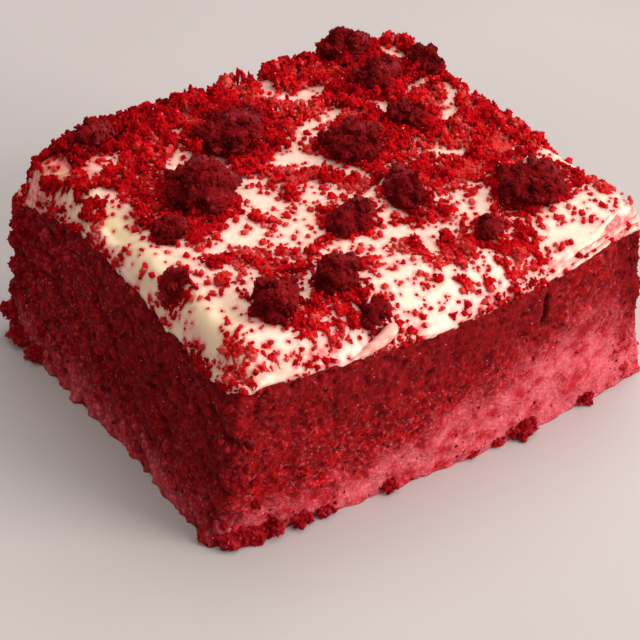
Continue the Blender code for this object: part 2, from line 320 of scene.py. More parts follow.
def rim_part(u, v, start):
    """0 as far out as this share of the way to the rim, 1 at the rim."""
    return smooth_step((rimward(u, v) - start) / (1 - start))


def seam_height(u, v, torn_part=RIM_LEVEL_PART):
    """Height of the sponge's top, ragged from this share of the way to the rim."""
    change = sum(
        height * np.exp(-(((u - at_u) / reach) ** 2) - ((v - at_v) / reach) ** 2)
        for at_u, at_v, height, reach in RIM_CHANGES
    )
    x, y = u * LENGTH / 2, v * DEPTH / 2
    ragged = plan_relief(x, y, SEAM_RAGGED_SIZE, 9)
    ragged = ragged + 0.5 * plan_relief(x, y, SEAM_RAGGED_SIZE / 3, 10)
    torn = 1 + LEFT_TORN * left_part(u, 0.1)
    change = rim_part(u, v, RIM_LEVEL_PART) * change
    return SPONGE_HEIGHT + change + rim_part(u, v, torn_part) * SEAM_RAGGED * torn * ragged


def edge_thickness(u, v):
    """Thickness of the cream at the rim: thin, but thick at the right end of the front."""
    front_right = rising(u, 0.25, 0.75) * smooth_step((-0.1 - v) / 0.9)
    back_right = smooth_step((u + v - 0.2) / 1.2)
    return EDGE_THIN + (EDGE_THICK - EDGE_THIN) * np.maximum(front_right, 0.4 * back_right)


def edge_lean(u, v):
    """How far the cream's top edge leans inwards: most at the right end of the front."""
    return EDGE_LEAN + CORNER_LEAN * smooth_step((u - v - CORNER_START) / CORNER_SPAN)


def waves(x, y, length, stretch, turn, seed):
    """Long ridges left by a knife that was drawn in one direction."""
    along = x * math.cos(turn) - y * math.sin(turn)
    across = x * math.sin(turn) + y * math.cos(turn)
    return plan_relief(along / stretch, across, length, seed)


def frosting_height(u, v):
    """Height of the frosting's top: waves inside, rounded down to a thin edge."""
    x, y = u * LENGTH / 2, v * DEPTH / 2
    wave = waves(x, y, WAVE_LENGTH, WAVE_STRETCH, WAVE_TURN, 3)
    plateau = SPONGE_HEIGHT + FROSTING_THICKNESS + WAVE_HEIGHT * wave
    slope_y = np.where(v < 0, FRONT_SLOPE, SIDE_SLOPE)
    over_x = np.maximum(np.abs(x) - (LENGTH / 2 - SIDE_SLOPE), 0) / SIDE_SLOPE
    over_y = np.maximum(np.abs(y) - (DEPTH / 2 - slope_y), 0) / slope_y
    over = np.minimum(np.hypot(over_x, over_y), 1)
    rim = seam_height(u, v, TOP_TORN_PART) + edge_thickness(u, v)
    return plateau + (rim - plateau) * over**SLOPE_POWER


middle_height = frosting_height(np.zeros(1), np.zeros(1))[0]
print("frosting's top in the middle", round(float(middle_height) / MM, 1), "mm")

# %% [markdown]
# ## A skin of rings and a grid
#
# The sponge's sides and the frosting's edge run all round the block, so they are made as rings
# of points one above the other, joined by four-sided faces. The frosting also needs a fine
# grid over its top. A flat face closes what stays hidden. The rings turn anticlockwise seen
# from above, which makes every face point outwards.

# %% Build a skin
def rim_places(cells_u, cells_v):
    """Points (u, v) once round the block, anticlockwise."""
    across = np.linspace(-1, 1, cells_u + 1)[:-1]
    up = np.linspace(-1, 1, cells_v + 1)[:-1]
    one_u, one_v = np.ones(cells_u), np.ones(cells_v)
    sides = ((across, -one_u), (one_v, up), (-across, one_u), (-one_v, -up))
    return np.concatenate([np.column_stack(side) for side in sides])


def quads(number):
    """Faces between the points of a grid that have these numbers."""
    corners = number[:-1, :-1], number[1:, :-1], number[1:, 1:], number[:-1, 1:]
    return np.column_stack([corner.ravel() for corner in corners])


def skin(cells_u, cells_v, rings, grid_on_top):
    """Places (u, v, w) and faces of a closed skin. Each ring is (share of the way out, w)."""
    rim = rim_places(cells_u, cells_v)
    count = len(rim)
    places = [np.column_stack([rim * share, np.full(count, w)]) for share, w in rings]
    here = np.arange(count)
    onward = np.roll(here, -1)
    faces = [list(range(count))[::-1]]
    for ring in range(len(rings) - 1):
        low, high = ring * count, (ring + 1) * count
        faces += np.column_stack([here + low, onward + low, onward + high, here + high]).tolist()
    last = (len(rings) - 1) * count
    if not grid_on_top:
        faces.append([last + i for i in range(count)])
        return np.concatenate(places), faces
    number = np.full((cells_u + 1, cells_v + 1), -1)
    number[:-1, 0] = last + np.arange(cells_u)
    number[-1, :-1] = last + cells_u + np.arange(cells_v)
    number[1:, -1] = (last + cells_u + cells_v + np.arange(cells_u))[::-1]
    number[0, 1:] = (last + 2 * cells_u + cells_v + np.arange(cells_v))[::-1]
    inner = (cells_u - 1) * (cells_v - 1)
    number[1:-1, 1:-1] = (last + count + np.arange(inner)).reshape(cells_u - 1, cells_v - 1)
    across, up = (np.linspace(-1, 1, cells + 1)[1:-1] for cells in (cells_u, cells_v))
    inside_u, inside_v = np.meshgrid(across, up, indexing="ij")
    places.append(np.column_stack([inside_u.ravel(), inside_v.ravel(), np.ones(inner)]))
    return np.concatenate(places), faces + quads(number).tolist()


def set_numbers(thing, **numbers):
    """Gives every point of the object a number under each name."""
    layers = thing.data.attributes
    for name, values in numbers.items():
        layer = layers.get(name) or layers.new(name, "FLOAT", "POINT")
        values = np.zeros(len(thing.data.vertices)) + values
        layer.data.foreach_set("value", values.astype(np.float32))


def piece_of(name, points, faces, finish, **numbers):
    """Object of these points and faces, shaded smooth, with these numbers on its points."""
    data = bpy.data.meshes.new(name)
    data.from_pydata(points.tolist(), [], faces)
    data.shade_smooth()
    data.materials.append(finish)
    made = in_scene(name, data)
    set_numbers(made, **numbers)
    return made


print("a ring has", len(rim_places(4, 3)), "places for 4 by 3 cells")

# %% [markdown]
# ## The sponge's finish
#
# Red velvet is a cocoa-tinted butter sponge. Its cut side is a mosaic of bright red crumb, dark
# mottles of 2 mm and duller, mauve walls of 1 mm. Painted shade darkens its pores and the gaps
# between its grains, and painted highlights put pale points where a wall catches the light.
# Where the knife dragged, the crumb is pressed smooth and looks pink, and that pink also carries
# a painted sheen and bounced light. Three numbers kept on the mesh steer the colour: painted
# shade in pores, hollows, the crack and the furrows, how smooth the knife left it, and painted
# shade under the frosting and high on the sides. A little light passes through the crumb, so a
# weak subsurface softens it.

# %% Finish: open crumb of a baked sponge
def attribute(tree, name):
    return add(tree, "ShaderNodeAttribute", attribute_name=name).outputs["Fac"]


def mixed(tree, factor, first, second, blend="MIX"):
    """Colour made of two colours, each a socket or a hex value."""
    first, second = (linear(c) if isinstance(c, str) else c for c in (first, second))
    links = {0: factor, 6: first, 7: second}
    return add(tree, "ShaderNodeMix", links, data_type="RGBA", blend_type=blend).outputs[2]


def between(tree, value, low, high, start=0.0, end=1.0):
    """Carries a value from the range low to high over to start to end."""
    links = {0: value, 1: low, 2: high, 3: start, 4: end}
    return add(tree, "ShaderNodeMapRange", links).outputs[0]


def dots(tree, place, spacing, radius, share):
    """1 in round dots: one in each cell of this size, in this share of the cells."""
    cell = add(tree, "ShaderNodeTexVoronoi", {"Vector": place, "Scale": 1 / spacing})
    reach = radius / spacing
    near = between(tree, cell.outputs["Distance"], reach * 0.7, reach * 1.2, 1.0, 0.0)
    channels = add(tree, "ShaderNodeSeparateColor", {"Color": cell.outputs["Color"]})
    return maths(tree, "MULTIPLY", near, maths(tree, "LESS_THAN", channels.outputs[0], share))


def paint(tree, shader, place, base, grit, strength, distance):
    """Gives the shader its colour, and a fine relief whose lumps are as large as the grit."""
    tree.links.new(base, shader.inputs["Base Color"])
    height = cloud_of(tree, place, grit)
    bump = add(
        tree, "ShaderNodeBump", {"Height": height, "Strength": strength, "Distance": distance}
    )
    tree.links.new(bump.outputs["Normal"], shader.inputs["Normal"])


sponge_crumb, tree, shader, place = finish_of(
    "open red sponge crumb",
    Roughness=0.85,
    Specular_IOR_Level=0.08,
    Subsurface_Weight=0.12,
    Subsurface_Radius=(1.0, 0.25, 0.2),
    Subsurface_Scale=0.8 * MM,
)
pressed = attribute(tree, "smooth")
crumb_red = ramp(tree, cloud_of(tree, place, 7 * MM), [(0.3, "d0060e"), (0.7, "f00e18")])
mottle = between(tree, cloud_of(tree, place, 1.9 * MM), 0.45, 0.56, 0.0, 0.75)
base = mixed(tree, mottle, crumb_red, "860c16")
wall = between(tree, cloud_of(tree, place, 1.1 * MM), 0.5, 0.6, 0.0, 0.7)
base = mixed(tree, wall, base, "c02c38")
soft_spots = cloud_of(tree, place, 3.4 * MM)
# Crumb pressed smooth by the knife is pink, and this pink also carries a painted sheen and bounced
# light
pressed_pink_and_sheen = ramp(tree, soft_spots, [(0.36, "c42632"), (0.62, "e8707c"), (0.48, "dc5864")])
pink = maths(tree, "ADD", pressed, cloud_of(tree, place, 1.4 * MM))
base = mixed(tree, between(tree, pink, 0.55, 1.35), base, pressed_pink_and_sheen)
grain = add(tree, "ShaderNodeTexVoronoi", {"Vector": place, "Scale": 1 / (0.9 * MM), "Detail": 1.0})
shade = between(tree, grain.outputs["Distance"], 0.3, 0.75, 0.0, 0.85)
shade = maths(tree, "MULTIPLY", shade, between(tree, pressed, 0.0, 1.0, 1.0, 0.5))
base = mixed(tree, shade, base, "a01c24", "MULTIPLY")
glint = between(tree, cloud_of(tree, place, 0.7 * MM), 0.55, 0.68, 0.0, 0.7)
glint = maths(tree, "MULTIPLY", glint, between(tree, pressed, 0.0, 1.0, 0.4, 0.5))
base = mixed(tree, glint, base, "e0808a")
# Painted shade under the frosting, high on the cut sides and at the right end of the front
base = mixed(tree, attribute(tree, "painted_side_shade"), base, "74050b")
# Painted shade in the pores, the relief's hollows, the crack and the knife furrows
base = mixed(tree, attribute(tree, "pore"), base, "4a0306")
# Painted shade in small pores
base = mixed(tree, dots(tree, place, 2.2 * MM, 0.4 * MM, 0.5), base, "520408")
# Painted highlights: pale points where a wall catches the light
base = mixed(tree, dots(tree, place, 1.3 * MM, 0.14 * MM, 0.4), base, "dc7078")
paint(tree, shader, place, base, 0.5 * MM, 0.9, 0.35 * MM)
print("finish", sponge_crumb.name, "with", len(tree.nodes), "nodes")

# %% [markdown]
# ## The sponge
#
# A torn sponge is rough at every size: crags of about 9 mm, lumps of 3 mm, crumbs of 1 mm and
# pores. Each size is a layer of smooth noise that pushes the skin out or in. The two large
# layers are the solid's own, so the silhouette agrees with it, and the finer ones are added
# here. The front was cut cleanly and the left side was torn more, so each side has its own
# roughness. Where the knife dragged, the fine layers fade. A crack stands near the right end of
# the front, and slanting knife marks run down the left side. Painted shade darkens the crack,
# the furrows, the pores and the hollows of the relief.

# %% Relief of the sponge
CRAG_HEIGHT, CRAG_SIZE = 0.9 * MM, 9 * MM
CRUMB_HEIGHT, CRUMB_SIZE = 0.75 * MM, 3.4 * MM
FOOT_CRUMBLE = 0.8 * MM
LUMP_HEIGHT, LUMP_SIZE = 0.4 * MM, 1.3 * MM
GRAIN_HEIGHT, GRAIN_SIZE = 0.4 * MM, 0.8 * MM
PORE_DEPTH, PORE_SIZE, PORE_START = 0.5 * MM, 1.5 * MM, 0.28
FRONT_ROUGH, LEFT_ROUGH = 0.85, 1.05
STREAK_DEPTH, STREAK_SIZE, STREAK_STRETCH = 0.8 * MM, 2.2 * MM, 5
STREAK_TURN = math.radians(40)
CRACK_X, CRACK_WIDTH, CRACK_DEPTH = 20 * MM, 0.7 * MM, 1.6 * MM
CRACK_LOW, CRACK_HIGH = 24 * MM, 33 * MM
SMOOTH_TOP_FRONT, SMOOTH_TOP_ELSEWHERE, SMOOTH_FADE = 14 * MM, 13 * MM, 16 * MM
SPONGE_CELL = 0.36 * MM


def pale_patch(u):
    """1 right of the crack, where the knife pressed the front smooth up to the cream."""
    return np.exp(-(((u - 0.62) / 0.2) ** 2))


def smoothness(u, v, points):
    """Where the knife pressed the crumb smooth: low down, and on the front towards the right."""
    cloud = relief(points, 8 * MM, 21) * 5 * MM
    front = v < -0.95
    right_end = rising(u, 0.84, 0.14)
    top_of_front = SMOOTH_TOP_FRONT + 12 * MM * rising(u, -0.75, 1.3) - 5 * MM * right_end
    top_of_front = top_of_front + 3 * MM * pale_patch(u)
    top_of_smooth = np.where(front, top_of_front, SMOOTH_TOP_ELSEWHERE)
    smooth = smooth_step((top_of_smooth + cloud - points[:, 2]) / SMOOTH_FADE)
    return smooth * np.where(front, 1.0, 0.75)


def knife_streaks(points):
    """Furrows that slant down the left side towards the front."""
    along = -points[:, 1] * math.cos(STREAK_TURN) - points[:, 2] * math.sin(STREAK_TURN)
    across = -points[:, 1] * math.sin(STREAK_TURN) + points[:, 2] * math.cos(STREAK_TURN)
    return np.clip(plan_relief(along / STREAK_STRETCH, across, STREAK_SIZE, 17) / 0.4, 0, 1)


def crack_of(points, v):
    """1 in the crack near the right end of the front, which also gets painted shade."""
    x, _, z = points.T
    tall = rising(z, CRACK_LOW, 2 * MM) * smooth_step((CRACK_HIGH - z) / (2 * MM))
    bend = 0.5 * MM * relief(points, 4 * MM, 8) + 0.45 * MM * relief(points, 1.3 * MM, 11)
    wide = CRACK_WIDTH * (1.2 - 0.8 * (z - CRACK_LOW) / (CRACK_HIGH - CRACK_LOW))
    return tall * np.exp(-(((x - CRACK_X + bend) / wide) ** 2)) * (v < -0.9)


def painted_side_shade_of(u, v, z, front, left):
    """Painted shade: under the frosting, high up on both cut sides and at the front's right end."""
    band = smooth_step((z - seam_height(u, v) + (3 + 3 * left) * MM) / (4 * MM))
    middle = np.exp(-((u / 0.45) ** 2))
    high = 0.62 + 0.2 * middle - 0.25 * pale_patch(u)
    high = high * front * rising(z, 10 * MM, 20 * MM)
    high = np.maximum(high, 0.55 * left * rising(z, 1 * MM, 14 * MM))
    right_end = front * rising(u, 0.82, 0.12)
    high = high + 0.45 * right_end * rising(z, 2 * MM, 20 * MM)
    far = left * rising(v, -0.2, 0.8)
    return np.maximum(band * (0.5 + 0.4 * left), high) * (1 - 0.75 * far)


def sponge_skin():
    cells_u, cells_v = round(LENGTH / SPONGE_CELL), round(DEPTH / SPONGE_CELL)
    levels = np.linspace(0, 1, round(SPONGE_HEIGHT / SPONGE_CELL) + 1)
    rings = [(1, w) for w in levels] + [(share, 1) for share in (0.99, 0.97, 0.93, RIM_LEVEL_PART)]
    lattice, faces = skin(cells_u, cells_v, rings, False)
    u, v, w = lattice.T
    z = seam_height(u, v) * w
    points = np.column_stack([*outline(u, v, z), z])
    smooth = smoothness(u, v, points)
    left = left_part(u)
    front = rising(-v, 0.9, 0.08)
    rough = (1 - 0.7 * smooth) * (1 + (FRONT_ROUGH - 1) * front + (LEFT_ROUGH - 1) * left)
    crumble = FOOT_CRUMBLE * np.abs(relief(points * (1, 1, 0), CRUMB_SIZE, 7)) * (w == 0)
    push = CRAG_HEIGHT * relief(points, CRAG_SIZE, 1) + CRUMB_HEIGHT * relief(points, CRUMB_SIZE, 2)
    lump = relief(points, LUMP_SIZE, 4)
    grain = relief(points, GRAIN_SIZE, 5)
    pore = np.clip((relief(points, PORE_SIZE, 6) - PORE_START) / 0.3, 0, 1)
    crack = crack_of(points, v)
    streak = knife_streaks(points) * left
    push = push * (1 - 0.4 * smooth) + rough * (LUMP_HEIGHT * lump + GRAIN_HEIGHT * grain)
    push = push + crumble - rough * PORE_DEPTH * pore - CRACK_DEPTH * crack - STREAK_DEPTH * streak
    points[:, :2] += outward(u, v) * (push * (w < 1))[:, None]
    # Painted shade in the relief's hollows, the pores, the crack and the furrows, kept as pore
    painted_shade = np.clip(0.25 - 0.9 * lump - 0.7 * grain, 0, 1) * rough * 0.6
    dark = np.clip(np.maximum(painted_shade, pore * rough) + 1.5 * crack + 0.5 * streak, 0, 1)
    painted_side_shade = painted_side_shade_of(u, v, z, front, left)
    return points, faces, dict(smooth=smooth, pore=dark, painted_side_shade=painted_side_shade)


points, faces, numbers = sponge_skin()
sponge = piece_of("sponge_crumb", points, faces, sponge_crumb, **numbers)
print("sponge points", len(points), "pore share", round(float((numbers["pore"] > 0.5).mean()), 2))

# %% [markdown]
# ## Where the crumbs lie
#
# The crumbs aren't spread evenly. They lie thick at the back and along the two back rims, and
# thin at the front left, where the cream shows. A list of heaps and a list of bare patches say
# this, each an oval with its place, size and turn, and round every large clump lie the crumbs
# that fell off it. Smooth noise then breaks it all into islands: a point is covered where the
# noise rises over a level that falls as the wanted cover grows, so the islands run together at
# the back and stand apart in front.

# %% The cover of crumbs
BARE, FULL = 0.31, 0.92
BARE_STRENGTH, LEAST_COVER, MOST_COVER = 1.4, 0.04, 0.95
ISLAND_SIZES = ((5.0 * MM, 0.25), (2.4 * MM, 0.5), (1.4 * MM, 0.8), (0.7 * MM, 0.85))
ISLAND_SPREAD = 0.3
# Clumps: x, y, length, breadth, height in mm, turn in degrees
CLUMPS = {
    "clump_tall": (-24.0, 5.6, 13.6, 11.6, 7.2, 20),
    "clump_mound": (-8.3, 20.4, 14.4, 12.2, 4.4, 30),
    "clump_front_left": (-31.0, -30.4, 11.4, 8.8, 4.3, 40),
    "clump_front_dark": (-18.0, -30.4, 9.6, 8.2, 5.2, 10),
    "clump_middle": (10.0, 4.8, 13.2, 10.0, 4.4, 40),
    "clump_back_dark": (27.8, 22.0, 10.4, 8.2, 4.8, 15),
    "clump_centre": (8.2, -14.8, 10.4, 6.8, 3.9, 75),
    "clump_centre_left": (-4.6, -15.6, 11.6, 7.0, 2.8, 20),
    "clump_right": (29.0, -26.2, 16.0, 12.4, 4.2, 35),
    "clump_right_low": (14.6, -32.6, 6.6, 5.0, 2.4, 20),
    "clump_back": (29.6, 35.6, 10.4, 8.0, 6.2, 0),
    "clump_back_right": (40.8, 22.8, 9.4, 6.8, 5.0, 80),
    "clump_back_mid": (25.8, 8.4, 8.2, 7.2, 3.8, 120),
    "clump_left": (-34.6, -0.6, 8.0, 6.2, 2.8, 35),
    "clump_left_low": (-41.8, -13.4, 7.4, 5.2, 2.4, 85),
    "clump_curl": (-16.2, -40.0, 6.8, 3.8, 3.4, 6),
    "clump_left_back": (-32.2, 34.0, 10.8, 7.0, 4.6, 5),
}
# Crumbs that fell off a clump lie round it: times its size, shift in mm, change of cover
SKIRT_SIZE, SKIRT_SHIFT, SKIRT = 1.15, (0.9, -0.9), 0.3
# Heaps and bare patches: x, y, length, breadth in mm, turn in degrees, change of cover
HEAPS = (
    (-23, 36, 30, 10, 0, 0.5), (-9, 25, 20, 18, 60, 0.5), (0, 39, 14, 8, 0, 0.35),
    (22, 35, 26, 14, 5, 0.6), (43, 24, 18, 9, 90, 0.5), (44, -2, 24, 7, 90, 0.5),
    (-35, 16, 10, 8, 80, 0.35), (-27, 24, 16, 9, 0, 0.3), (-44, 13.5, 7.5, 6, 60, 0.7),
    (-44.6, 29.7, 3.4, 6, 20, 1.0), (-35.5, 6, 6.5, 6, 0, 0.8), (-35, -0.5, 8, 5, 0, 0.6),
    (-24, 5, 18, 14, 50, 0.6), (-30, -6, 9, 5.5, 20, 0.7), (-9, 12, 10, 9, 0, 0.5),
    (-7, 5, 6, 4.5, 0, 0.6), (-8, -1.8, 5.5, 6, 0, 0.9), (-0.5, 2.4, 7, 4.4, 0, 0.8),
    (10, 5, 15, 12, 30, 0.5), (26, 12, 24, 14, 0, 0.3), (34, -4, 14, 12, 0, 0.4),
    (15, -12, 16, 10, 0, 0.35), (32, -20, 20, 20, 0, 0.5), (-42.5, -15, 8, 7, 60, 0.8),
    (-30, -13, 9, 5.5, -10, 0.7), (-25.5, -16.5, 9, 4.4, 90, 0.9), (-21, -21.5, 12, 5, -10, 0.7),
    (-6, -14, 11, 9, 20, 0.7), (-11, -18.5, 10, 4, 10, 0.6), (9, -22, 10, 5, -20, 0.6),
    (-10.5, -27.5, 5, 4, 0, 0.8), (5, -34.5, 7, 4.5, 10, 0.9), (14, -32, 12, 7, 10, 0.55),
    (-25, -36.5, 15, 8, -15, 0.6), (-44.5, -35.5, 7, 5, 10, 0.8), (-38, -41, 5, 4.4, 60, 0.8),
    (-45.5, -41.5, 4.6, 3.6, 0, 0.8), (-33, -43.4, 3.4, 4.4, 0, 0.8), (13, -41, 18, 7, 10, 0.4),
    (22, -30, 14, 8, 30, 0.5), (-22.8, 0.5, 2.8, 2.4, 0, 0.8), (-18.5, -5.6, 5, 3.6, 20, 0.8),
    (-5.5, 6.1, 8, 2.6, 5, 0.7), (0.6, -1.9, 4, 3, 0, 0.8), (-37.5, -11.2, 3, 2.8, 0, 0.8),
    (-33.2, -11.2, 2.6, 2.2, 0, 0.8), (-18.5, -14.8, 2.8, 2.2, 40, 0.8),
    (-40.6, -21, 6.4, 2, 15, 0.7), (-35.7, -18.5, 3, 2.4, 0, 0.7), (-39.4, -27.8, 1.9, 1.7, 0, 0.9),
    (-7.4, -31.5, 5, 3, -10, 0.7), (0, -27.8, 5.6, 5, 30, 0.7), (5.5, -29.6, 6, 3.4, 0, 0.7),
    (-30.8, -34.3, 5, 2.8, 0, 0.7), (-17.2, -35, 7, 3.6, 0, 0.7), (-11, -37.6, 4.4, 2.2, 0, 0.7),
    (-2.5, -38.2, 5, 2.8, 10, 0.7), (-7.4, -42, 4.4, 2.4, 0, 0.6), (-45.5, 6, 2.4, 2, 0, 0.8),
    (-43.4, 1, 2, 1.8, 0, 0.8), (-36.3, 12.2, 3.6, 3.8, 0, 0.7), (-34.5, 17.2, 6, 4.6, 0, 0.6),
    (-40, 21.5, 4.4, 3, 0, 0.6), (28, -13.5, 11, 11, 0, 0.8), (34, -31, 8, 5, 20, 0.6),
    (42, -33, 3, 3, 0, 0.7), (36, -40.3, 3, 1.6, 30, 0.8), (37.2, -34.8, 1.6, 1.4, 0, 0.7),
    (31, -37.2, 1.6, 1.4, 0, 0.7), (0.4, -31.5, 3.6, 9, 0, 0.6), (7, -30, 3.4, 3.4, 0, 0.7),
    (3.4, -39.8, 4, 3.4, 0, 0.7), (15, -38, 7, 4.6, 20, 0.5), (11.5, -44.4, 5, 3, 0, 0.6),
    (19, -40.7, 3, 3, 0, 0.7), (-17, 35.7, 9, 7, 0, 0.5), (-29, -43.6, 6, 3, 0, 0.8),
    (-14, -44.2, 9, 4, 0, 0.9), (4.5, -44.8, 9, 2.4, 0, 0.6), (17.3, -43.8, 9, 5, 0, 0.8),
    (31.5, -42.4, 3, 2, 0, 0.6), (20, -35.5, 12, 8, 0, 0.6), (40, 15, 9, 9, 0, 0.2),
    (-40, -36, 9, 7, 0, 0.25), (44, 4, 5, 12, 0, 0.3), (-40, 35, 8, 8, 0, 0.3),
    (40, -5, 9, 9, 0, 0.3), (-44, -34, 7, 7, 0, 0.3), (5, -5, 8, 7, 0, 0.3),
    (44, -13, 5, 16, 0, 0.35), (42, -26, 5, 8, 0, 0.3), (8, -33, 8, 6, 0, 0.3),
)
BARE_PATCHES = (
    (-46.5, 18, 12, 5, 80, 0.7), (-46.5, 0, 18, 6, 95, 1.2), (-47, -14, 12, 4, 95, 0.6),
    (-40, 9, 9, 5, 60, 0.5), (-33, 27, 9, 5, 30, 0.6), (-20, 19.5, 8, 5, 50, 0.7),
    (-38.5, -7, 7, 9, 0, 0.6), (-23.5, -6.5, 7, 7, -40, 0.6), (-16, -3, 5, 7, 0, 0.6),
    (-14.5, 4, 8, 4.4, 30, 0.8), (-13.5, -12, 7, 12, -40, 0.8), (-3, 8, 8, 5.4, 0, 0.9),
    (-5, -6, 7, 7, 0, 0.8), (5, -1, 3.4, 10, 20, 0.9), (4, -15, 3, 9, 10, 0.9),
    (8, 15, 16, 5, 25, 0.9), (14.5, 26.5, 8, 5, 30, 0.7), (7, 37.5, 5, 9, 15, 0.9),
    (38, 35, 6, 12, 10, 0.7), (24, 15.5, 4, 6, 20, 0.7), (35, 7, 11, 3.4, 50, 0.6),
    (25.5, -6, 4, 9, 30, 0.9), (17.5, -25, 7, 6, 0, 0.9), (41.5, -17, 4, 12, 90, 0.6),
    (-41, -25, 13, 10, 70, 0.6), (-39, -44, 16, 6, 0, 0.4), (-6, -36, 11, 12, 0, 0.5),
    (6, -27, 9, 5, 0, 0.4), (32, -37, 20, 12, 0, 0.55), (0, -42, 14, 5, 0, 0.3),
    (-47, 34, 7, 13, -10, 1.0), (-46, 22, 5.4, 10, -10, 0.8), (-41.5, 31.5, 3, 6, 0, 0.6),
    (-33.6, 27.5, 4, 5, -40, 0.8), (-37, 24.5, 4, 2.4, 0, 0.6), (-20, 20.5, 6, 4, 45, 0.8),
    (-26, 21.3, 1.8, 2.8, 0, 0.8), (-15.6, 28.4, 2.8, 4, 0, 0.8), (-14, 14, 3.6, 9, -20, 0.7),
    (-38.6, 17, 4, 3, -40, 0.8), (-38, 11.5, 5, 4, 0, 0.7), (-39.5, 3, 4, 9, 0, 0.7),
    (-11.5, -6.5, 4, 4, 0, 0.7), (12.6, -17, 2.2, 3, 0, 0.8), (15.4, -20, 2.6, 3.2, 0, 0.8),
    (22.4, -21, 3.4, 2.4, 0, 0.5), (7.6, -26.5, 6.5, 5, -20, 0.7), (3.4, -30, 2.4, 5, 0, 0.6),
    (1, -23.4, 6, 3.4, 0, 0.6), (-3.5, -32, 4, 6, 0, 0.6), (10, -38, 3, 6, 20, 0.7),
    (16.8, -35, 3, 2.4, 0, 0.7), (17.8, -44, 2.6, 4, 0, 0.7), (37.6, -12, 3.6, 2, 0, 0.7),
    (44, 10, 4, 20, 0, 0.7), (43.6, -17, 5, 18, 0, 0.8), (38.8, 29.5, 4, 6, 0, 0.8),
    (36, 17.8, 13, 3, 10, 0.8), (39.5, 14.5, 3.4, 7, 0, 0.8), (25.2, 30.4, 3, 3, 0, 0.8),
    (8.5, 29.8, 6, 4, -20, 0.8), (-40.5, 31.5, 4.4, 7, 0, 0.8), (-38, 16.5, 5, 4, 0, 0.6),
    (-13.5, 5.2, 8, 4.4, 20, 0.6), (-2.8, 8.6, 7, 6, 0, 0.5), (-12, 0.4, 12, 4, 0, 0.5),
    (-9, -23, 10, 6, -20, 0.9), (-29, -8, 8, 7, 0, 0.4), (0.5, 5.5, 7, 7, 0, 0.9),
    (-13, -25, 8, 6, 0, 0.5), (-35, -35, 9, 7, 0, 0.4), (-36, -6, 8, 7, 0, 0.4),
    (-5, -5, 8, 6, 0, 0.4), (9, 37, 5, 8, 0, 0.5), (-33, 25, 8, 4, -35, 0.5),
    (-20, -12, 9, 6, 0, 0.3), (-36.5, -16, 5, 10, 0, 0.5), (8.6, 36, 4, 9, 0, 0.6),
    (10, 25, 9, 5, 30, 0.3),
)


def oval(x, y, row):
    """Soft oval: 1 in its middle, a half on its edge, nothing far off."""
    at_x, at_y, length, breadth, turn, change = row
    angle = math.radians(turn)
    along = (x / MM - at_x) * math.cos(angle) + (y / MM - at_y) * math.sin(angle)
    across = (y / MM - at_y) * math.cos(angle) - (x / MM - at_x) * math.sin(angle)
    reach = np.hypot(along / (length / 2), across / (breadth / 2))
    return change * smooth_step(1.5 - reach)


def clump_ovals(x, y, shift, size, change):
    """An oval round each clump, moved by this many mm and this many times as large."""
    return [
        oval(x, y, (at_x + shift[0], at_y + shift[1], size * length, size * breadth, turn, change))
        for at_x, at_y, length, breadth, _, turn in CLUMPS.values()
    ]


def even_spread(value):
    """Turns noise, which gathers round 0, into numbers spread evenly from 0 to 1."""
    return 1 / (1 + np.exp(-1.7 * value / ISLAND_SPREAD))


def island_height(x, y):
    """Over 0 where crumbs cover the cream, more the deeper inside an island."""
    u, v = x / (LENGTH / 2), y / (DEPTH / 2)
    cover = BARE + (FULL - BARE) * smooth_step((1.15 + v + 0.45 * u) / 2)
    cover = cover + sum(oval(x, y, row) for row in HEAPS)
    cover = cover - BARE_STRENGTH * sum(oval(x, y, row) for row in BARE_PATCHES)
    for skirt in clump_ovals(x, y, SKIRT_SHIFT, SKIRT_SIZE, SKIRT):
        cover = cover + skirt
    cloud = sum(share * plan_relief(x, y, size, 31) for size, share in ISLAND_SIZES)
    return even_spread(cloud) - (1 - np.clip(cover, LEAST_COVER, MOST_COVER))


check_u, check_v = np.meshgrid(np.linspace(-0.98, 0.98, 60), np.linspace(-0.98, 0.98, 60))
height = island_height(check_u.ravel() * LENGTH / 2, check_v.ravel() * DEPTH / 2).reshape(60, 60)
front_share, back_share = (float((half > 0).mean()) for half in (height[:30], height[30:]))
print("covered: front half", round(front_share, 2), "back half", round(back_share, 2))

# %% [markdown]
# ## The frosting's finish
#
# Cream frosting is whipped cream cheese and butter: off-white, soft and satin. Light goes a few
# millimetres into it and comes out warmer, so it gets a real subsurface, and its shaded left
# slope and hollows are also given a painted greenish yellow shade. Crumbs stain it a little red
# and throw red light onto it, which is painted in too, and the knife has drawn pink streaks
# along the rims. Two numbers on the mesh say how much: blush and painted shade.

# %% Finish: whipped cream frosting
frosting_cream, tree, shader, place = finish_of(
    "whipped cream frosting",
    Roughness=0.42,
    Subsurface_Weight=0.6,
    Subsurface_Radius=(1.0, 0.7, 0.4),
    Subsurface_Scale=3.0 * MM,
)
cream = ramp(tree, cloud_of(tree, place, 12 * MM), [(0.35, "eed0ba"), (0.65, "f4d9c5")])
# Painted shade: greenish yellow in the dents and on the left slope
base = mixed(tree, attribute(tree, "painted_shade"), cream, "e4d4a0")
stain = between(tree, cloud_of(tree, place, 1.2 * MM, 4.0), 0.35, 0.65, 0.6, 1.3)
stain = maths(tree, "MULTIPLY", attribute(tree, "blush"), stain, use_clamp=True)
base = mixed(tree, stain, base, "da5256")
base = mixed(tree, dots(tree, place, 2.4 * MM, 0.17 * MM, 0.5), base, "a83a3a")
paint(tree, shader, place, base, 1.1 * MM, 0.25, 0.25 * MM)
print("finish", frosting_cream.name, "with", len(tree.nodes), "nodes")

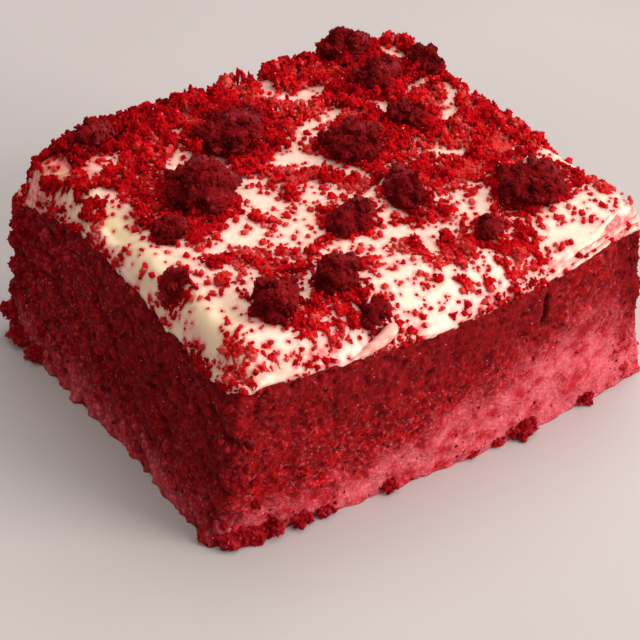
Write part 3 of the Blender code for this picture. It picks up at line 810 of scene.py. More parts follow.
# %% [markdown]
# ## The frosting
#
# The solid's rule gives the slab and its slopes. Finer knife ridges are added to the top, soft
# dents to the left slope, and the edge wanders in and out as soft cream does. The blush number
# is high in streaks along the rims, between the knife's steps at the right end and in the far
# left corner, where red crumbs were mixed into the cream. The crumbs add to it at the end.

# %% Skin of the frosting
FROSTING_CELL = 0.4 * MM
FROSTING_SINK = 0.3 * MM
RIDGE_HEIGHT, RIDGE_LENGTH, RIDGE_STRETCH, RIDGE_TURN = 0.34 * MM, 5.5 * MM, 4.0, math.radians(20)
EDGE_SWELL = 0.15 * MM
DENT_DEPTH, DENT_SIZE, DENT_STRETCH = 1.3 * MM, 7.5 * MM, 1.4
EDGE_WANDER, EDGE_WANDER_SIZE = 0.35 * MM, 6 * MM
LIP_HEIGHT, LIP_STEP = 0.35 * MM, 1.3 * MM
SMEAR_CORNER, SMEAR_REACH = (-44 * MM, 36 * MM), 13 * MM


def rim_share(u, v):
    """0 well inside the block, 1 at its rim."""
    return smooth_step((rimward(u, v) - 0.92) / 0.08)


def dents(u, v):
    """1 in the soft hollows of the left slope, 0 outside them."""
    slope = rising(-u, 0.74, 0.1) * smooth_step((0.995 + u) / 0.07)
    hollows = plan_relief(u * LENGTH / 2, v * DEPTH / 2 / DENT_STRETCH, DENT_SIZE, 19)
    return slope * np.clip(0.2 + 1.5 * hollows, 0, 1)


def frosting_top(u, v):
    """Height of the frosting's top with its fine ridges, which fade to the rim."""
    inner = smooth_step((1 - rimward(u, v)) / 0.08)
    ridge = waves(u * LENGTH / 2, v * DEPTH / 2, RIDGE_LENGTH, RIDGE_STRETCH, RIDGE_TURN, 12)
    return frosting_height(u, v) + RIDGE_HEIGHT * ridge * inner - DENT_DEPTH * dents(u, v)


def frosting_skin():
    cells_u, cells_v = round(LENGTH / FROSTING_CELL), round(DEPTH / FROSTING_CELL)
    rings = [(RIM_LEVEL_PART, 0), (0.93, 0), (0.98, 0)] + [(1, w) for w in np.linspace(0, 1, 9)]
    lattice, faces = skin(cells_u, cells_v, rings, True)
    u, v, w = lattice.T
    under = seam_height(u, v) - FROSTING_SINK
    z = under + (frosting_top(u, v) - under) * w
    x, y = outline(u, v, z)
    rim, thick = rim_share(u, v), edge_thickness(u, v)
    wander = plan_relief(x, y, EDGE_WANDER_SIZE, 13)
    wander = wander + 0.5 * plan_relief(x, y, EDGE_WANDER_SIZE / 3, 14)
    patches = smooth_step(0.5 + 1.6 * plan_relief(x, y, 9 * MM, 16))
    layers = np.sin(math.tau * w * thick / LIP_STEP + 2 * plan_relief(x, y, 9 * MM, 18))
    lips = rising(thick, 2 * MM, MM) * layers * (w > 0) * (w < 1)
    push = EDGE_SWELL * np.sin(math.pi * w) - edge_lean(u, v) * w + EDGE_WANDER * wander * rim
    push = push + LIP_HEIGHT * lips * rim
    sideways = outward(u, v) * (push * rim)[:, None]
    x, y = x + sideways[:, 0], y + sideways[:, 1]
    inward = (1 - rimward(u, v)) * LENGTH / 2
    halo = 0.16 + 0.12 * smooth_step(v)
    runs = np.where(np.abs(v) * DEPTH > np.abs(u) * LENGTH, x, y)
    lines = relief(np.column_stack([runs / 14, inward, w * thick]), 0.8 * MM, 15)
    near_rim = smooth_step(1 - inward / (3 * MM))
    band = near_rim * patches * np.clip(0.25 + 1.9 * lines, 0, 1) * (1 - 0.5 * left_part(u))
    band = band + 0.7 * smooth_step(-2 * lips - 0.6) * rim
    corner = smooth_step(1.3 - np.hypot(x - SMEAR_CORNER[0], y - SMEAR_CORNER[1]) / SMEAR_REACH)
    slope = rising(-u, 0.8, 0.12) * (1 - 0.6 * rim)
    blush = np.clip(halo * (1 - 0.8 * slope) + band + 0.55 * corner, 0, 1)
    # Painted shade on the left slope and in its dents
    painted_shade = np.maximum(0.5 * slope, 0.9 * dents(u, v))
    return np.column_stack([x, y, z]), faces, dict(blush=blush, painted_shade=painted_shade)


points, faces, numbers = frosting_skin()
frosting = piece_of("cream_frosting", points, faces, frosting_cream, **numbers)
print("frosting points", len(points), "mean blush", round(float(numbers["blush"].mean()), 2))

# %% [markdown]
# ## The crumbs' finish
#
# The crumbs are rubbed from the same sponge. Small ones are bright, because light passes
# through them, and the large clumps are darker, since they come from the browned outside.
# Each crumb keeps a number, tone, which moves it between maroon and bright red. On the clumps
# the tone also carries painted light and shade: lighter on the right, darker on the left. Four
# materials share one recipe, with painted highlights in small pale dots, and differ in their
# colours: loose crumb, the finest dust, the browned clumps and the duller crumb torn from the
# sides.

# %% Finishes: four kinds of crumb
def crumb_finish(name, dark, middle, bright, pale):
    """Matt porous crumb whose colour runs from dark to bright with its tone."""
    made, tree, shader, place = finish_of(
        name,
        Roughness=0.85,
        Specular_IOR_Level=0.03,
        Subsurface_Weight=0.25,
        Subsurface_Radius=(1.0, 0.2, 0.15),
        Subsurface_Scale=0.6 * MM,
    )
    own = maths(tree, "MULTIPLY", attribute(tree, "tone"), 0.6)
    tone = maths(tree, "MULTIPLY_ADD", cloud_of(tree, place, 2.2 * MM), 0.7, own)
    base = ramp(tree, tone, [(0.2, dark), (0.9, bright), (0.6, middle)])
    shade = between(tree, cloud_of(tree, place, 0.6 * MM), 0.4, 0.58, 0.35, 0.0)
    base = mixed(tree, shade, base, "801018", "MULTIPLY")
    # Painted highlights: small pale dots where a grain catches the light
    base = mixed(tree, dots(tree, place, 1.1 * MM, 0.15 * MM, 0.3), base, pale)
    paint(tree, shader, place, base, 0.4 * MM, 0.8, 0.25 * MM)
    return made


loose_crumb = crumb_finish("loose red crumb", "98040c", "c80c14", "d64c46", "f09c90")
crumb_dust = crumb_finish("fine crumb dust", "b0060c", "cc1016", "de5c52", "f09c90")
clump_crumb = crumb_finish("browned clump crumb", "3e0406", "780c11", "82282e", "8c4448")
torn_crumb = crumb_finish("torn sponge crumb", "5c040a", "900c16", "b42a34", "c86068")
print("finishes", [made.name for made in (loose_crumb, crumb_dust, clump_crumb, torn_crumb)])

# %% [markdown]
# ## A coat of grains
#
# Loose crumbs, clumps and the crumbled foot are all built of the same thing: grains of a third
# of a millimetre to three. One Geometry Nodes tree lays them. It spreads points on a surface,
# at least a spacing apart and only where the surface's number called cover allows, puts a small
# ball on each, turned and stretched at random, and makes the balls real. Noise then moves every
# point of the balls, so no two grains are alike. A fine grain has 15 faces, as there are
# thousands of them.

# %% Geometry Nodes tree for grains
GRAIN_INPUTS = (
    ("Surface", "Geometry", None),
    ("Spacing", "Float", 1.0 * MM),
    ("Smallest", "Float", 0.8 * MM),
    ("Largest", "Float", 1.6 * MM),
    ("Lift", "Float", 0.2),
    ("Uneven", "Float", 0.5),
    ("Grit", "Float", 0.4 * MM),
    ("Sides", "Int", 5),
    ("Rings", "Int", 3),
    ("Keep Surface", "Bool", False),
    ("Seed", "Int", 0),
    ("Material", "Material", None),
)
SMALL_GRAINS_MORE_OFTEN = 1.7
LEAST_STRETCH, MOST_STRETCH = (0.65,) * 3, (1.25,) * 3
TONE_CHANGE, TONE_SEED = 0.3, 77


def grain_tree():
    """Tree that lays crumb grains on a surface."""
    tree = bpy.data.node_groups.new("coat of grains", "GeometryNodeTree")
    for name, kind, value in GRAIN_INPUTS:
        kind = "NodeSocket" + kind
        socket = tree.interface.new_socket(name=name, in_out="INPUT", socket_type=kind)
        if value is not None:
            socket.default_value = value
    tree.interface.new_socket(name="Grains", in_out="OUTPUT", socket_type="NodeSocketGeometry")
    given = add(tree, "NodeGroupInput").outputs

    def made(kind, links, **settings):
        """First output of a new geometry node."""
        return add(tree, "GeometryNode" + kind, links, **settings).outputs[0]

    def number(name):
        return made("InputNamedAttribute", {"Name": name}, data_type="FLOAT")

    def stored(geometry, name, value, domain):
        links = {"Geometry": geometry, "Name": name, "Value": value}
        return made("StoreNamedAttribute", links, data_type="FLOAT", domain=domain)

    def scaled(vector, factor):
        links = {0: vector, 3: factor}
        return add(tree, "ShaderNodeVectorMath", links, operation="SCALE").outputs[0]

    def random_number(low, high, seed):
        links = {2: low, 3: high, 8: seed}
        return add(tree, "FunctionNodeRandomValue", links, data_type="FLOAT").outputs[1]

    def random_vector(low, high):
        links = {0: low, 1: high, 8: given["Seed"]}
        return add(tree, "FunctionNodeRandomValue", links, data_type="FLOAT_VECTOR").outputs[0]

    # Points on the surface where its cover allows, each with a width of its own
    links = {
        "Mesh": given["Surface"],
        "Distance Min": given["Spacing"],
        "Density Max": maths(tree, "POWER", given["Spacing"], -2.0),
        "Density Factor": number("cover"),
        "Seed": given["Seed"],
    }
    kind = "GeometryNodeDistributePointsOnFaces"
    spread = add(tree, kind, links, distribute_method="POISSON").outputs
    chance = random_number(0.0, 1.0, given["Seed"])
    skewed = maths(tree, "POWER", chance, SMALL_GRAINS_MORE_OFTEN)
    links = {0: skewed, 3: given["Smallest"], 4: given["Largest"]}
    width = add(tree, "ShaderNodeMapRange", links).outputs[0]
    sized = stored(spread["Points"], "width", width, "POINT")
    # A ball on each point, lifted, turned and stretched
    own_width = number("width")
    rise = maths(tree, "MULTIPLY", own_width, given["Lift"])
    offset = scaled(spread["Normal"], rise)
    links = {"Segments": given["Sides"], "Rings": given["Rings"], "Radius": 0.5}
    links = {
        "Points": made("SetPosition", {"Geometry": sized, "Offset": offset}),
        "Instance": made("MeshUVSphere", links),
        "Rotation": random_vector((0, 0, 0), (math.tau,) * 3),
        "Scale": scaled(random_vector(LEAST_STRETCH, MOST_STRETCH), own_width),
    }
    placed = made("InstanceOnPoints", links)
    own_tone = random_number(-TONE_CHANGE, TONE_CHANGE, TONE_SEED)
    tone = maths(tree, "ADD", own_tone, number("tone"))
    real = made("RealizeInstances", {"Geometry": stored(placed, "tone", tone, "INSTANCE")})
    # The balls become real mesh, and noise moves their points
    often = maths(tree, "DIVIDE", 1.0, given["Grit"])
    rough = add(tree, "ShaderNodeTexNoise", {"Scale": often, "Detail": 1.0}).outputs["Color"]
    links = {0: rough, 1: (0.5, 0.5, 0.5)}
    centred = add(tree, "ShaderNodeVectorMath", links, operation="SUBTRACT").outputs[0]
    amount = maths(tree, "MULTIPLY", own_width, given["Uneven"])
    shift = scaled(centred, maths(tree, "MULTIPLY", amount, 2.0))
    uneven = made("SetPosition", {"Geometry": real, "Offset": shift})
    # The material comes last, and the surface stays where it is asked for
    soft = made("SetShadeSmooth", {"Geometry": uneven})
    painted = made("SetMaterial", {"Geometry": soft, "Material": given["Material"]})
    both = add(tree, "GeometryNodeJoinGeometry", {"Geometry": painted})
    tree.links.new(given["Surface"], both.inputs["Geometry"])
    links = {"Switch": given["Keep Surface"], "False": painted, "True": both.outputs[0]}
    add(tree, "NodeGroupOutput", {"Grains": made("Switch", links, input_type="GEOMETRY")})
    return tree


GRAINS = grain_tree()


def evaluated_mesh(thing):
    """Plain mesh of the object with its modifiers carried out."""
    graph = bpy.context.evaluated_depsgraph_get()
    settings = dict(preserve_all_data_layers=True, depsgraph=graph)
    return bpy.data.meshes.new_from_object(thing.evaluated_get(graph), **settings)


def coat(name, surface, finish, seed, spacing, widths, keep=False, **others):
    """New piece: grains laid on the surface object by the tree, as plain mesh. Sizes in mm."""
    values = {"Material": finish, "Seed": seed, "Spacing": spacing * MM, "Keep Surface": keep}
    values.update(Smallest=widths[0] * MM, Largest=widths[1] * MM, **others)
    modifier = surface.modifiers.new("grains", "NODES")
    modifier.node_group = GRAINS
    for item in GRAINS.interface.items_tree:
        if item.name in values:
            modifier[item.identifier] = values[item.name]
    data = evaluated_mesh(surface)
    surface.modifiers.remove(modifier)
    data.name = name
    return in_scene(name, data)


print("tree of", len(GRAINS.nodes), "nodes")

# %% [markdown]
# ## Beds of crumb on the cream
#
# Where crumbs lie thick they hide the cream completely. Each island therefore gets a bed: a
# rough red sheet that rises 1 to 2 mm over the cream in the island's middle and dips under it
# at its shore. Grains are then laid over it. The tone is darker on the high lumps and round the
# clumps, where browned crumb has fallen off them. Painted shade darkens it deep inside an island
# and along the back-left rim, which faces away from the light.

# %% Make the beds
BED_CELL = 0.33 * MM
BED_START, BED_SHORE = 0.07, -0.04
BED_SINK = 0.25 * MM
BED_HEIGHT_THIN, BED_HEIGHT_THICK = 0.5 * MM, 1.7 * MM
BED_LUMP_SIZE = 3.2 * MM
BED_THICKNESS = 0.7 * MM
BACK_RIM_HEAP = 2.0 * MM
CLUMP_SHADE, CLUMP_SHADE_SIZE = 0.6, 1.6


def heap_height(x, y, depth):
    """How far a bed rises over the cream, for how deep a point lies in it."""
    u, v = x / (LENGTH / 2), y / (DEPTH / 2)
    thick = smooth_step((0.9 + v + 0.4 * u) / 2)
    high = BED_HEIGHT_THIN + (BED_HEIGHT_THICK - BED_HEIGHT_THIN) * thick
    lumps = 1 + 1.4 * plan_relief(x, y, BED_LUMP_SIZE, 41)
    peaks = np.clip(0.3 + 1.5 * plan_relief(x, y, 4 * MM, 42), 0, 1.5)
    rim = BACK_RIM_HEAP * rising(v, 0.72, 0.15) * peaks
    inside = smooth_step(depth / 0.4)
    nubs = 0.45 * plan_relief(x, y, 1.4 * MM, 43) + 0.4 * plan_relief(x, y, 0.75 * MM, 44)
    shore = BED_SINK * (1 - smooth_step(depth / 0.12))
    return inside * (high * lumps + rim) + nubs * MM * smooth_step(depth / 0.15) - shore


def grid_places(across, up):
    """Places (u, v) of a grid, and its faces."""
    u, v = (g.ravel() for g in np.meshgrid(across, up, indexing="ij"))
    return u, v, quads(np.arange(len(u)).reshape(len(across), len(up)))


def bed():
    across = np.linspace(-0.985, 0.985, round(LENGTH / BED_CELL))
    up = np.linspace(-0.98, 0.985, round(DEPTH / BED_CELL))
    u, v, faces = grid_places(across, up)
    z = frosting_top(u, v)
    x, y = outline(u, v, z)
    sideways = outward(u, v) * (-edge_lean(u, v) * rim_share(u, v))[:, None]
    x, y = x + sideways[:, 0], y + sideways[:, 1]
    depth = island_height(x, y) - BED_START
    z = z + heap_height(x, y, depth)
    faces = faces[(depth > BED_SHORE)[faces].all(axis=1)]
    used, faces = np.unique(faces, return_inverse=True)
    points, depth = np.column_stack([x, y, z])[used], depth[used]
    x, y, _ = points.T
    cover = smooth_step(depth / 0.1 + 0.3)
    painted_deep_shade = smooth_step(depth / 0.5)
    painted_back_left_shade = smooth_step((y / DEPTH - x / LENGTH - 0.45) / 0.2)
    back_right = smooth_step((y / DEPTH + x / LENGTH - 0.3) / 0.3)
    shades = clump_ovals(x, y, (0, 0), CLUMP_SHADE_SIZE, CLUMP_SHADE)
    rises = plan_relief(x, y, BED_LUMP_SIZE, 41)
    # Painted shade deep inside the islands and on the back-left rim, which faces away from the
    # light
    tone = 0.65 - 0.2 * painted_deep_shade - 0.4 * painted_back_left_shade - 0.1 * back_right
    tone = tone - np.max(shades, axis=0) - 0.5 * rises
    tone = tone + 0.4 * relief(points, 2.5 * MM, 45) + 0.4 * relief(points, 7 * MM, 46)
    return points, faces.reshape(-1, 4).tolist(), dict(cover=cover, tone=tone)


points, faces, numbers = bed()
crumb_bed = piece_of("crumb_bed", points, faces, loose_crumb, **numbers)
print("bed points", len(points), "highest", round(float(points[:, 2].max()) / MM, 1), "mm")

# %% [markdown]
# ## Grains on the beds
#
# Two coats make a bed look like crumbs: fine grains everywhere, and coarse lumps here and there
# that carry fine grains of their own. The clumps are later built with the same two steps.

# %% Lay the grains on the beds
LUMP_SHAPE = {"Sides": 12, "Rings": 8, "Grit": 0.7 * MM}
SECOND_COAT = dict(spacing=0.66, widths=(0.4, 1.05), keep=True, Lift=-0.05, Uneven=0.7)


def without(thing):
    """Takes a helper object out of the scene."""
    bpy.data.objects.remove(thing, do_unlink=True)


def lumps_with_grains(name, surface, finish, seed, spacing, widths, keep=False, **others):
    """Coarse lumps on the surface, and fine grains over the lumps. Sizes in mm."""
    others.update(LUMP_SHAPE, Uneven=0.5)
    bare = coat(name + "_bare", surface, finish, seed, spacing, widths, keep, **others)
    set_numbers(bare, cover=1)
    full = coat(name, bare, finish, seed + 40, **SECOND_COAT)
    without(bare)
    return full


shape = dict(spacing=0.62, widths=(0.4, 1.1), Lift=0.05, Uneven=0.6)
fine_grains = coat("fine_crumb_grains", crumb_bed, loose_crumb, 1, **shape)
shape = dict(spacing=3.3, widths=(1.2, 2.8), Lift=0.1)
coarse_grains = lumps_with_grains("coarse_crumb_grains", crumb_bed, loose_crumb, 2, **shape)
print("grains on the beds, faces", len(fine_grains.data.polygons), len(coarse_grains.data.polygons))

# %% [markdown]
# ## Specks between the islands
#
# Fine crumbs of 0.4 to 1.5 mm lie scattered on the bare cream, more of them near an island and
# fewer on the left slope. They come from the same tree, laid on a copy of the frosting's top
# whose cover is low.

# %% Lay the specks
SPECK_COVER, SPECK_COVER_NEAR = 0.07, 0.8


def speck_sheet():
    u, v, faces = grid_places(np.linspace(-0.97, 0.97, 120), np.linspace(-0.97, 0.97, 105))
    z = frosting_top(u, v)
    x, y = outline(u, v, z)
    island = island_height(x, y)
    near = smooth_step(1 + (island - 0.05) / 0.32)
    clean = rising(-u, 0.84, 0.08) * rising(v, -0.8, 0.2)
    cover = (SPECK_COVER + SPECK_COVER_NEAR * near) * (island < BED_START + 0.1) * (1 - 0.6 * clean)
    return np.column_stack([x, y, z]), faces.tolist(), dict(cover=cover, tone=0.45)


points, faces, numbers = speck_sheet()
sheet = piece_of("speck_sheet", points, faces, loose_crumb, **numbers)
shape = dict(spacing=0.58, widths=(0.4, 1.5), Lift=0.1, Sides=6, Rings=4)
specks = coat("crumb_specks", sheet, crumb_dust, 3, **shape)
without(sheet)
print("speck faces", len(specks.data.polygons))

# %% [markdown]
# ## The clumps
#
# Large clumps of 6 to 16 mm are what the eye takes for the topping. Each follows the solid's
# rule: a ball pushed about by noise, flattened below and set on the frosting. The fine version
# has far more points and small nubs, and then gets coarse lumps and a coat of fine grains.

# %% Make the clumps
CLUMP_ROUGHNESS, CLUMP_LUMP_SIZE, CLUMP_CUT, CLUMP_STEEP = 0.4, 0.55, 0.4, 0.75
CLUMP_COAT = 0.5 * MM


def ground_below(surface, points):
    """Height of the surface under each point."""
    found = [surface.ray_cast(Vector((x, y, 1)), Vector((0, 0, -1)))[0] for x, y in points]
    return np.array([hit.z if hit else SPONGE_HEIGHT for hit in found])


def tree_of(thing):
    """The object's surface, for finding points on it."""
    mesh = bmesh.new()
    mesh.from_mesh(thing.data)
    surface = BVHTree.FromBMesh(mesh)
    mesh.free()
    return surface


def ball_of(subdivisions, radius):
    """Points and faces of a round ball."""
    mesh = bmesh.new()
    bmesh.ops.create_icosphere(mesh, subdivisions=subdivisions, radius=radius)
    ball = np.array([vert.co for vert in mesh.verts])
    faces = [[vert.index for vert in face.verts] for face in mesh.faces]
    mesh.free()
    return ball, faces


def clump_core(name, sizes, surface, seed):
    """Rough lump of crumb that sits on the surface."""
    x, y, length, breadth, height = (size * MM for size in sizes[:5])
    turn = Matrix.Rotation(math.radians(sizes[5]), 2)
    ball, faces = ball_of(5, 1)
    across = ball * (1 + CLUMP_ROUGHNESS * relief(ball, CLUMP_LUMP_SIZE, seed))[:, None]
    across[:, :2] *= (length / 2 - CLUMP_COAT, breadth / 2 - CLUMP_COAT)
    plan = across[:, :2] @ np.array(turn).T + (x, y)
    rise = (np.maximum(across[:, 2] + CLUMP_CUT, 0) / (1 + CLUMP_CUT)) ** CLUMP_STEEP
    points = np.column_stack([plan, ground_below(surface, plan) + rise * height])
    nubs = 0.8 * MM * relief(points, 2.6 * MM, seed)
    nubs = nubs + 0.35 * MM * relief(points, 1.2 * MM, seed + 1)
    points += ball * (nubs * (rise > 0))[:, None]
    points[:, 2] -= 0.3 * MM * (rise == 0)
    # Painted light and shade: lighter to the right where the light comes from, darker to the left,
    # a little lighter low down
    tone = 0.44 - 0.1 * ball[:, 2] + 0.3 * ball[:, 0] + 0.3 * relief(points, 2.2 * MM, seed + 2)
    return piece_of(name, points, faces, clump_crumb, cover=rise > 0.02, tone=tone)


cream_surface = tree_of(frosting)
clumps = {}
shape = dict(spacing=2.0, widths=(1.2, 2.8), keep=True, Lift=-0.1)
for seed, (name, sizes) in enumerate(CLUMPS.items(), start=1):
    core = clump_core(name + "_core", sizes, cream_surface, seed)
    clumps[name] = lumps_with_grains(name + "_crumb", core, clump_crumb, seed, **shape)
    without(core)
print("clump faces", sum(len(clump.data.polygons) for clump in clumps.values()))

# %% [markdown]
# ## Close the beds
#
# The beds were open sheets while grains were laid on them. Solidify gives them a thickness into
# the cream, so they become closed bodies.

# %% Give the beds a thickness
thick = crumb_bed.modifiers.new("thickness", "SOLIDIFY")
thick.thickness = BED_THICKNESS
thick.offset = -1
closed = evaluated_mesh(crumb_bed)
crumb_bed.modifiers.remove(thick)
crumb_bed.data = closed
print("bed faces", len(closed.polygons))

# %% [markdown]
# ## The curl
#
# At the front rim the knife pushed up a tongue of cream with a smooth back. It starts thin at
# its left end, lies along the rim, rises to the right and ends there in a blunt round tip.
# It is a ball whose points are moved along a rising line, with a width that grows to the tip.

# %% Make the curl
CURL_START, CURL_LENGTH = (-23.6 * MM, -43.7 * MM), 9.8 * MM
CURL_TURN, CURL_RISE = math.radians(3), (0.1 * MM, 3.2 * MM)
CURL_WIDTH, CURL_HEIGHT = (1.3 * MM, 3.1 * MM), (1.1 * MM, 3.3 * MM)


def curl():
    ball, faces = ball_of(5, 0.5)
    left_over = 0.5 - ball[:, 0]
    along = 1 - left_over * (0.3 + 0.7 * left_over)
    start, tip = CURL_WIDTH
    wide = ball[:, 1] * (start + (tip - start) * along)
    start, tip = CURL_HEIGHT
    tall = ball[:, 2] * (start + (tip - start) * along**1.4)
    run = CURL_LENGTH * along
    ground = ground_below(cream_surface, [CURL_START])[0]
    x = CURL_START[0] + run * math.cos(CURL_TURN) - wide * math.sin(CURL_TURN)
    y = CURL_START[1] + run * math.sin(CURL_TURN) + wide * math.cos(CURL_TURN)
    z = ground + CURL_RISE[0] + CURL_RISE[1] * along**1.6 + tall
    points = np.column_stack([x, y, z])
    points += ball * (0.25 * MM * relief(points, 2.4 * MM, 52))[:, None]
    # Pink cream, pinker on the underside: painted shade under the tongue
    blush = np.clip(0.6 - 0.5 * ball[:, 2] + 0.3 * relief(points, 2 * MM, 51), 0.4, 0.85)
    return piece_of("frosting_curl", points, faces, frosting_cream, blush=blush)


frosting_curl = curl()
print("curl from", [round(c / MM, 1) for c in CURL_START], "mm")

# %% [markdown]
# ## The crumbled foot and the crumbs on the sides
#
# When the square was lifted out, crumbs broke off its lower edge and stuck there. The largest
# stand where the solid has them. Each is a rough lump with grains on it. A thin coat of grains
# also clings to the sides, more at the foot and at the upright edges of the front, coarser
# torn crumb to the far end of the left side, and some crumbs hang over the cream's rim.

# %% Crumbs at the foot
FOOT_STAND_OUT, FOOT_LUMP_HEIGHT = -0.12, 0.7
SIDES = {"front": (None, -1), "back": (None, 1), "left": (-1, None), "right": (1, None)}
# Side, place along it from -1 to 1, width and height of the middle in mm
FOOT_CRUMBS = (
    ("front", -0.95, 5.6, 0.9), ("front", -0.89, 6.0, 0.8), ("front", -0.82, 5.6, 1.1),
    ("front", -0.7, 4.8, 0.8), ("front", -0.6, 3.6, 0.7), ("front", -0.3, 3.4, 1.3),
    ("front", 0.1, 2.4, 0.8), ("front", 0.24, 2.8, 0.8), ("front", 0.37, 5.6, 1.3),
    ("front", 0.72, 3.4, 0.8), ("left", -0.9, 2.6, 0.6), ("left", 0.7, 4.4, 1.0),
    ("left", 0.86, 5.4, 2.0), ("left", 0.96, 4.6, 5.5), ("left", 0.93, 4.4, 16.5),
    ("left", 0.9, 5.0, 26.5), ("left", 0.99, 3.8, 21.5), ("right", -0.5, 4.4, 1.0),
    ("right", 0.7, 5.0, 1.2), ("back", -0.7, 6.0, 1.3), ("back", 0.3, 6.6, 1.4),
    ("back", 0.82, 5.0, 1.0),
)


def foot_lumps():
    """One mesh of rough lumps at the foot, at the places and sizes of the solid's crumbs."""
    ball, ball_faces = ball_of(4, 0.5)
    points, faces = [], []
    for seed, (side, along, width, middle) in enumerate(FOOT_CRUMBS, start=60):
        u, v = (np.array([float(along if c is None else c)]) for c in SIDES[side])
        x, y = outline(u, v, middle * MM)
        out = outward(u, v)[0] * FOOT_STAND_OUT * width * MM
        rough = 1 + 0.5 * relief(ball, 0.3, seed) + 0.25 * relief(ball, 0.14, seed)
        place = (x[0] + out[0], y[0] + out[1], middle * MM)
        lump = ball * rough[:, None] * width * MM * (1, 1, FOOT_LUMP_HEIGHT) + place
        lump[:, 2] = np.maximum(lump[:, 2], 0.1 * MM)
        faces += [[i + len(points) * len(ball) for i in face] for face in ball_faces]
        points.append(lump)
    return np.concatenate(points), faces


points, faces = foot_lumps()
lumps = piece_of("foot_lumps", points, faces, torn_crumb, cover=points[:, 2] > 0.6 * MM, tone=0.5)
shape = dict(spacing=0.6, widths=(0.4, 1.3), keep=True, Lift=0.12)
foot = coat("foot_crumbs", lumps, torn_crumb, 5, **shape)
without(lumps)
print("foot crumb faces", len(foot.data.polygons))

# %% Grains on the sides
# Corners in plan where crumbs gather: the front left and the front right
FRONT_LEFT, FRONT_RIGHT = (-46 * MM, -41 * MM), (46 * MM, -41 * MM)


def points_of(thing):
    """Places of the object's points."""
    flat = np.empty(len(thing.data.vertices) * 3)
    thing.data.vertices.foreach_get("co", flat)
    return flat.reshape(-1, 3)


def near_corner(x, y, corner, reach, span):
    """1 at this upright edge of the block, nothing from this reach on."""
    return smooth_step((reach - np.hypot(x - corner[0], y - corner[1])) / span)


def side_covers():
    """How thickly fine grains and coarse crumbs cling to each point of the sponge's skin."""
    points = points_of(sponge)
    x, y, z = points.T
    u, v = x / (LENGTH / 2), y / (DEPTH / 2)
    seam = seam_height(np.clip(u, -1, 1), np.clip(v, -1, 1))
    inside = (z > 0.5 * MM) & (z < seam - 0.3 * MM) & (rimward(u, v) > 0.92)
    low = smooth_step((4 * MM - z) / (4 * MM))
    left_corner = near_corner(x, y, FRONT_LEFT, 9 * MM, 8 * MM)
    right_corner = near_corner(x, y, FRONT_RIGHT, 7 * MM, 5 * MM)
    high = rising(z, 30 * MM, 3 * MM)
    left = left_part(u, 0.1)
    far = rising(v, -0.1, 0.9) * rising(z, 6 * MM, 8 * MM)
    patchy = np.clip(0.3 + 1.6 * relief(points, 5 * MM, 71), 0, 1)
    fine = (0.3 + 0.4 * low + 0.3 * left_corner + 0.2 * high) * patchy * (1 - 0.5 * left)
    fine = fine + 0.6 * right_corner
    torn = left * (0.75 * far + 0.5 * smooth_step((z - seam + 3.5 * MM) / (2 * MM)))
    torn = torn + 0.5 * left_corner + 0.12 * right_corner
    return inside * np.clip(fine, 0, 1), inside * np.clip(torn * (0.4 + patchy), 0, 1)


fine_cover, torn_cover = side_covers()
side_tone = 0.55 + 0.5 * relief(points_of(sponge), 3 * MM, 72)
set_numbers(sponge, cover=fine_cover, tone=side_tone)
shape = dict(spacing=0.7, widths=(0.3, 1.0), Lift=0.02)
side_grains = coat("side_crumbs", sponge, sponge_crumb, 6, **shape)
set_numbers(sponge, cover=torn_cover)
shape = dict(spacing=1.5, widths=(0.9, 2.6), Lift=-0.05, Uneven=0.45, **LUMP_SHAPE)
torn_crumbs = coat("torn_crumbs", sponge, torn_crumb, 7, **shape)
print("crumb faces on the sides", [len(made.data.polygons) for made in (side_grains, torn_crumbs)])

# %% Grains on the rim
# Runs of crumbs over the front rim: x, length in mm, share
FRONT_RIM_RUNS = (
    (-45, 3, 1.0), (-29, 5, 0.8), (-13.5, 8.5, 1.0), (4, 10, 0.6), (16, 9, 0.9), (32, 4, 0.4),
)


def rim_cover():
    """How thickly crumbs hang on the cream's edge: most at the left."""
    points = points_of(frosting)
    x, y, z = points.T
    u, v = x / (LENGTH / 2), y / (DEPTH / 2)
    over_seam = z - seam_height(np.clip(u, -1, 1), np.clip(v, -1, 1))
    left = left_part(u, 0.06) * (1 - 0.7 * rising(v, 0.55, 0.25))
    patchy = np.clip(0.2 + 1.8 * relief(points, 4 * MM, 73) + 0.5 * left, 0, 1)
    low = smooth_step((3.2 * MM - over_seam) / (2.4 * MM))
    runs = sum(
        share * smooth_step(1.5 - np.abs(x / MM - at) / (length / 2))
        for at, length, share in FRONT_RIM_RUNS
    )
    thick = np.clip(patchy * (0.3 + 0.5 * left) + runs * (v < -0.93), 0, 1)
    return (rimward(u, v) > 0.93) * (over_seam > 0) * low * thick


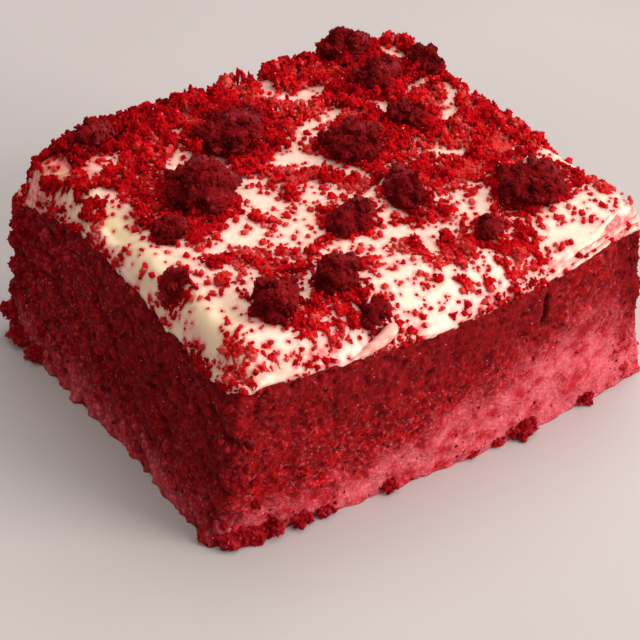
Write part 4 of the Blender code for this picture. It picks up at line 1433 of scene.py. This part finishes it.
set_numbers(frosting, cover=rim_cover(), tone=0.25 + 0.5 * relief(points_of(frosting), 3 * MM, 74))
shape = dict(spacing=0.5, widths=(0.4, 1.5), Lift=0.0, Uneven=0.8, Sides=8, Rings=6)
rim_crumbs = coat("rim_crumbs", frosting, loose_crumb, 8, **shape)
print("crumb faces on the rim", len(rim_crumbs.data.polygons))

# %% [markdown]
# ## Red stain and painted bounce round each crumb
#
# A crumb that lies on cream stains it, and the red light it throws onto the cream is painted in
# with the stain: strongly right beside it and faintly for about a millimetre round. A tree of
# the crumbs' points gives the distance to the nearest one, and the blush grows as it falls.

# %% Stain the cream red round the crumbs, with painted bounce
# How red the cream is beside a crumb, by stain and painted bounce, and how far that reaches
STAIN_AND_BOUNCE = ((0.45, 1.0 * MM), (0.4, 0.4 * MM))

crumbs = (crumb_bed, fine_grains, coarse_grains, specks, rim_crumbs, *clumps.values())
crumb_points = np.concatenate([points_of(made)[::2] for made in crumbs])
nearest = KDTree(len(crumb_points))
for index, point in enumerate(crumb_points):
    nearest.insert(point, index)
nearest.balance()
for made in (frosting, frosting_curl):
    distance = np.array([nearest.find(point)[2] for point in points_of(made)])
    blush = np.empty(len(distance))
    made.data.attributes["blush"].data.foreach_get("value", blush)
    blush = blush + sum(share * smooth_step(1 - distance / reach) for share, reach in STAIN_AND_BOUNCE)
    set_numbers(made, blush=np.clip(blush, 0, 1))
    print(made.name, "mean blush", round(float(blush.mean()), 2))

# %% [markdown]
# ## Hand the pieces to the frame
#
# Every piece rides on the one body, and each solid that a piece stands for is hidden.

# %% Ride, and hide the solids that are replaced
SLOTS = {
    "sponge_crumb": (sponge, foot, side_grains, torn_crumbs, rim_crumbs),
    "cream_frosting": (frosting, frosting_curl),
    "topping_crumb": (crumb_bed, fine_grains, coarse_grains, specks, *clumps.values()),
}
for slot, made_of_it in SLOTS.items():
    for piece in made_of_it:
        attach(piece, "root")
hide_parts("sponge")
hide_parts("frosting")
for name, clump in clumps.items():
    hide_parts(name)
total = 0
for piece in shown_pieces():
    piece.data.calc_loop_triangles()
    total += len(piece.data.loop_triangles)
    print(piece.name, len(piece.data.loop_triangles), "triangles")
print("all", total)
